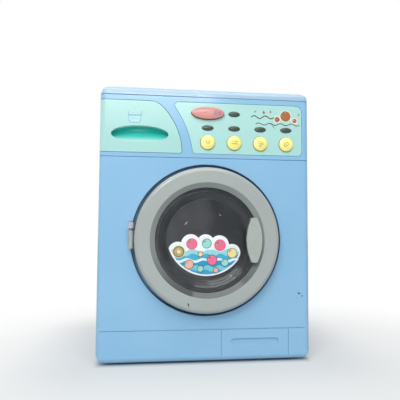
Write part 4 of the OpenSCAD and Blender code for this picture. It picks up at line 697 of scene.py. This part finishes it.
# Lamp lenses
# Small domed ovals of smoked plastic, pressed into the panel over the lamps of the board.
lens_size = (0.0112, 0.0050)
lens_dome = 0.0011
lens_fullness = 2.2
lens_back = 0.003
smoked_lens = moulded("smoked_lens", shade(76, 88, 80), shade(68, 82, 76), roughness=0.06, wave=0.02)
for lens in ("start_lamp_lens", "program_lamp_lens_1", "program_lamp_lens_2", "program_lamp_lens_3",
             "program_lamp_lens_4"):
    lens_at = middle(lens)
    dome = domed_oval(lens + "_dome", (lens_at.x, lens_at.z), lens_size, front_y + lens_back, front_y,
                      lens_dome, lens_fullness)
    dome.data.materials.append(smoked_lens)
    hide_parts(lens)
    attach(dome, "housing")

# Detergent drawer
# One mint moulding: the wrapped front with its scooped finger recess, and the tray behind.
# The scoop is deep at its upper side and runs out smoothly at its lower edge.
recess_x, recess_z = -0.0630, 0.2120
recess_half = (0.0266, 0.00795)
# Shade inside the scoop is painted as a deeper teal.
scoop_shade_teal = shade(30, 198, 184)


def painted_scoop_shade(tree, place, colour):
    """Painted shade in the scoop: a deeper teal the deeper the surface lies behind the front."""
    inside = step(tree, reach_from(tree, place, recess_x, recess_z, *recess_half), 1.004, 1.012, 1, 0)
    depth = depth_behind_front(tree, place)
    deep = times(tree, step(tree, depth, 0.0024, 0.0078), step(tree, depth, 0.0084, 0.0088, 1, 0))
    return mixed(tree, times(tree, inside, deep), colour, scoop_shade_teal)


finish_nodes(moulded("drawer_mint", shade(167, 214, 209), shade(173, 217, 212), roughness=0.15, wave=0.12,
                     tint=painted_scoop_shade), "detergent_drawer")
blue_ink = ink("blue_ink", shade(112, 168, 206), shade(104, 160, 200))
pale_blue_ink = ink("pale_blue_ink", shade(176, 222, 240), shade(182, 226, 243))
sign_x, sign_z, sign_half, sign_up = -0.0678, 0.2280, 0.0064, 0.0052
tub_sign = [(sign_x + across * sign_half, sign_z + over * sign_up) for across, over in
            ((-1, 1), (-0.78, -0.8), (-0.6, -1), (0.6, -1), (0.78, -0.8), (1, 1))]
water_z = sign_z + 0.3 * sign_up
water = [(sign_x - 0.9 * sign_half, water_z)] + tub_sign[1:5] + [(sign_x + 0.9 * sign_half, water_z)]
printed("drawer_sign", [
    (pale_blue_ink, [water]),
    (blue_ink, stroke(tub_sign, line_width)
        + wave_line(sign_x - 0.86 * sign_half, sign_x + 0.86 * sign_half, water_z, 0.0004, 0.0034, line_width)
        + [outline for k in (-1, 0, 1) for outline in disc(sign_x + 0.0024 * k, sign_z - 0.0014, 0.0005, 12)]
        + disc(sign_x, sign_z + 0.0082, 0.0005, 12)),
], panel_front, "drawer")

# Door
# A hollow ring of satin grey plastic with a sloping inner band, closed behind by a flat back
# ring. The pale leaf of the handle sits on its right side and a long knuckle on its left.
slope_radius = 0.0530


def painted_slope_shade(tree, place, colour):
    """Painted shade on the sloping band: a deeper grey than the face, most of all at the bottom."""
    reach = reach_from(tree, place, door_x, door_z)
    band = step(tree, reach, slope_radius - 0.0002, slope_radius + 0.0001, 1, 0)
    height = add_node(tree, "SeparateXYZ", {"Vector": place}).outputs["Z"]
    amount = step(tree, height, door_z - 0.052, door_z + 0.005, 0.86, 0.24)
    return mixed(tree, times(tree, band, amount), colour, shade(52, 58, 60))


# The door ring's sloping band carries painted shade, darker towards the bottom.
door_grey = moulded(
    "door_grey", shade(169, 176, 173), shade(165, 172, 169), roughness=0.11, edge=0.0006, wave=0.06,
    tint=painted_slope_shade,
    marks=[((-0.0172, front_y - 0.010, 0.0557), 0.0024, 0.0008, 1.2, shade(30, 34, 36), 0.9)])
finish_nodes(door_grey, "door_ring", "door_back_ring", "door_latch")
finish_nodes(moulded("handle_grey", shade(171, 179, 173), shade(167, 175, 170), roughness=0.25),
             "door_handle")
finish_nodes(moulded("hinge_grey", shade(184, 190, 196), shade(178, 184, 190), roughness=0.28),
             "hinge_bracket")

# Door window
# A clear smoke-tinted pressing, held between the ring's lip and the back ring. Its flange
# turns over a fine bead and goes down in two narrow terraces to a flat floor.
window_front = -0.0046
window_thick = 0.0015
dish_depth = 0.0046
bead = 0.0004
flange_radius = 0.0518
terraces = [(0.0400, 0.0016), (0.0406, 0.0016), (0.0420, 0.0030), (0.0426, 0.0030)]


def filleted(points, radius):
    """The points of an open path, with every inner corner rounded."""
    path = [points[0]]
    for before, corner, after in zip(points, points[1:], points[2:]):
        towards_before = Vector(before) - Vector(corner)
        towards_after = Vector(after) - Vector(corner)
        reach = min(radius, 0.45 * towards_before.length, 0.45 * towards_after.length)
        start = Vector(corner) + reach * towards_before.normalized()
        end = Vector(corner) + reach * towards_after.normalized()
        for k in range(7):
            t = k / 6
            path.append(tuple((1 - t) ** 2 * start + 2 * t * (1 - t) * Vector(corner) + t ** 2 * end))
    path.append(points[-1])
    return path


def turned_round_door(name, profile, sides=144):
    """A profile of radius and depth behind the front face, turned round the door's axis."""
    points = []
    for i in range(sides):
        a = 2 * pi * i / sides
        points += [(door_x + r * cos(a), front_y + y, door_z + r * sin(a)) for r, y in profile]
    n = len(profile)
    faces = []
    for i in range(sides):
        j = (i + 1) % sides
        faces += [[i * n + k, i * n + k + 1, j * n + k + 1, j * n + k] for k in range(n - 1)]
    return mesh_object(name, points, faces)


dish_floor = window_front + dish_depth
dish_back = dish_floor + window_thick
flange_back = window_front + window_thick
window_profile = filleted(
    [(0.0, dish_floor), (0.0378, dish_floor), (0.0382, dish_floor - bead), (0.0386, dish_floor - bead / 2)]
    + [(radius, dish_floor - rise) for radius, rise in terraces]
    + [(0.0441, window_front + 0.0003), (0.0444, window_front - bead), (0.0449, window_front - bead),
       (0.0452, window_front), (flange_radius, window_front), (flange_radius, flange_back),
       (0.0453, flange_back), (0.0389, dish_back), (0.0, dish_back)], 0.0006)


def smoked_window_material():
    material, tree, shader = new_material("smoked_window")
    place = add_node(tree, "TexCoord").outputs["Object"]
    scratched = 0.0
    for x, z, half_length, half_width, angle in (
            (-0.0190, 0.1292, 0.0026, 0.00026, -0.85), (0.0130, 0.1370, 0.0016, 0.00018, 0.6),
            (-0.0260, 0.1090, 0.0012, 0.0002, 0.3)):
        line = mark(tree, place, (x, front_y + dish_floor, z), half_length, half_width, angle, 0.2)
        scratched = reckon(tree, "MAXIMUM", scratched, line)
    tree.links.new(mixed(tree, scratched, (0.29, 0.305, 0.325, 1), (0.8, 0.8, 0.8, 1)),
                   shader.inputs["Base Color"])
    cloudy = step(tree, noise(tree, place, 0.016, 5), 0.45, 0.75)
    hazy = reckon(tree, "MULTIPLY_ADD", cloudy, 0.06, 0.085)
    clear = ramp(tree, reckon(tree, "MAXIMUM", hazy, scratched), 0.0, 1.0, 1.0, 0.0)
    tree.links.new(clear, shader.inputs["Transmission Weight"])
    tree.links.new(ramp(tree, cloudy, 0.0, 1.0, 0.03, 0.16), shader.inputs["Roughness"])
    tree.links.new(bumped(tree, noise(tree, place, 0.03, 2), 0.002, 0.08), shader.inputs["Normal"])
    shader.inputs["IOR"].default_value = 1.5
    shader.inputs["Specular IOR Level"].default_value = 0.3
    return material


window = turned_round_door("door_window_dish", window_profile)
window.data.materials.append(smoked_window_material())
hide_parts("door_window")
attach(window, "door")

# Door sticker
# A die-cut printed vinyl label on the window's floor: a white-edged bank of foam over
# turquoise waves, with pastel bubbles. It is stuck on a little askew.
finish_nodes(moulded("sticker_white", shade(244, 247, 248), shade(238, 242, 244), roughness=0.25),
             "door_sticker")
sticker_radius = 0.0374
sticker_lift = 0.0036
sticker_top = -0.0080
sticker_right = 0.030
sticker_middle = -0.016
print_inset = 0.0014
foam_bumps = [(-0.02698, -0.01102, 0.00901), (-0.01501, -0.00399, 0.00901), (-0.00099, -0.003, 0.00798),
              (0.01201, -0.00502, 0.00901), (0.02394, -0.01201, 0.00798)]
sticker_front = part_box("door_sticker")[0].y


def in_sticker(x, z, inset):
    """Whether a point, counted from the door's centre, lies inside the label by the inset."""
    if hypot(x, z - sticker_lift) > sticker_radius - inset:
        return False
    if z < sticker_top - inset and x < sticker_right - inset:
        return True
    return any(hypot(x - bump_x, z - bump_z) < radius - inset for bump_x, bump_z, radius in foam_bumps)


def sticker_outline(inset, sides=150, stride=0.0002):
    """The label's outline, felt out along rays from a point inside it."""
    outline = []
    for i in range(sides):
        a = 2 * pi * i / sides
        reach = 0.0
        while in_sticker((reach + stride) * cos(a), sticker_middle + (reach + stride) * sin(a), inset):
            reach += stride
        outline.append((door_x + reach * cos(a), door_z + sticker_middle + reach * sin(a)))
    return outline


def wave_print():
    """Turquoise, blue and pale waves below a pale sky, printed as flat inks."""
    material, tree, shader = new_material("wave_print")
    place = add_node(tree, "TexCoord").outputs["Object"]
    parts = add_node(tree, "SeparateXYZ", {"Vector": place}).outputs
    colour_now = (0.80, 0.90, 0.93, 1)
    for level, height, length, shift, colour in (
            (-0.0100, 0.0013, 0.0170, 0.0, shade(150, 214, 224)),
            (-0.0142, 0.0012, 0.0130, 1.3, shade(72, 174, 206)),
            (-0.0182, 0.0011, 0.0150, 2.9, shade(222, 240, 244)),
            (-0.0205, 0.0011, 0.0150, 2.6, shade(46, 150, 192)),
            (-0.0246, 0.0009, 0.0110, 0.7, shade(118, 200, 214)),
            (-0.0288, 0.0009, 0.0120, 1.9, shade(64, 160, 200))):
        ripple = reckon(tree, "SINE", reckon(tree, "MULTIPLY_ADD", parts["X"], 2 * pi / length, shift))
        crest = reckon(tree, "MULTIPLY_ADD", ripple, height, door_z + level)
        below = reckon(tree, "SUBTRACT", crest, parts["Z"])
        colour_now = mixed(tree, step(tree, below, -0.0001, 0.0001), colour_now, colour)
    tree.links.new(colour_now, shader.inputs["Base Color"])
    tree.links.new(ramp(tree, noise(tree, place, 0.0012, 3), 0.0, 1.0, 0.2, 0.32), shader.inputs["Roughness"])
    return material


def label_front(x, z):
    return sticker_front


def bubble(x, z, radius, fill, edge):
    """A round bubble of the print: a dark line, a pastel fill and a white glint."""
    x, z = door_x + x, door_z + z
    return [(edge, disc(x, z, radius, 40)), (fill, disc(x, z, radius - 0.0005, 40)),
            (label_white, circle_line(x, z, radius * 0.62, radius * 0.16, 100, 165))]


label_white = ink("label_white", shade(248, 250, 250), shade(243, 246, 247))
pale_yellow_ink = ink("pale_yellow_ink", shade(244, 226, 160), shade(240, 218, 146))
peach_ink = ink("peach_ink", shade(242, 186, 164), shade(236, 176, 156))
pink_ink = ink("pink_ink", shade(238, 120, 152), shade(232, 108, 142))
rose_ink = ink("rose_ink", shade(226, 74, 96), shade(220, 66, 90))
mint_ink = ink("mint_ink", shade(160, 224, 212), shade(150, 216, 204))
slate_ink = ink("slate_ink", shade(78, 88, 116), shade(70, 80, 108))
rings_at = door_x - 0.0262, door_z - 0.0112
picture = [(wave_print(), [sticker_outline(print_inset)]), (pale_yellow_ink, disc(*rings_at, 0.0058, 40)),
           (peach_ink, circle_line(*rings_at, 0.0045, 0.0012)),
           (label_white, circle_line(*rings_at, 0.0026, 0.0009))]
for x, z, radius, fill, edge in (
        (-0.0140, -0.0040, 0.0052, pink_ink, rose_ink), (0.0000, -0.0036, 0.0046, mint_ink, slate_ink),
        (0.0125, -0.0052, 0.0054, pink_ink, rose_ink), (0.0240, -0.0125, 0.0048, pale_yellow_ink, slate_ink),
        (-0.0165, -0.0230, 0.0044, peach_ink, slate_ink), (0.0050, -0.0190, 0.0050, pink_ink, slate_ink),
        (0.0170, -0.0215, 0.0036, mint_ink, slate_ink), (-0.0060, -0.0270, 0.0032, mint_ink, slate_ink),
        (-0.0060, -0.0135, 0.0026, pale_yellow_ink, slate_ink),
        (0.0085, -0.0284, 0.0026, peach_ink, slate_ink)):
    picture += bubble(x, z, radius, fill, edge)
printed("door_sticker_print", picture, label_front, "door")
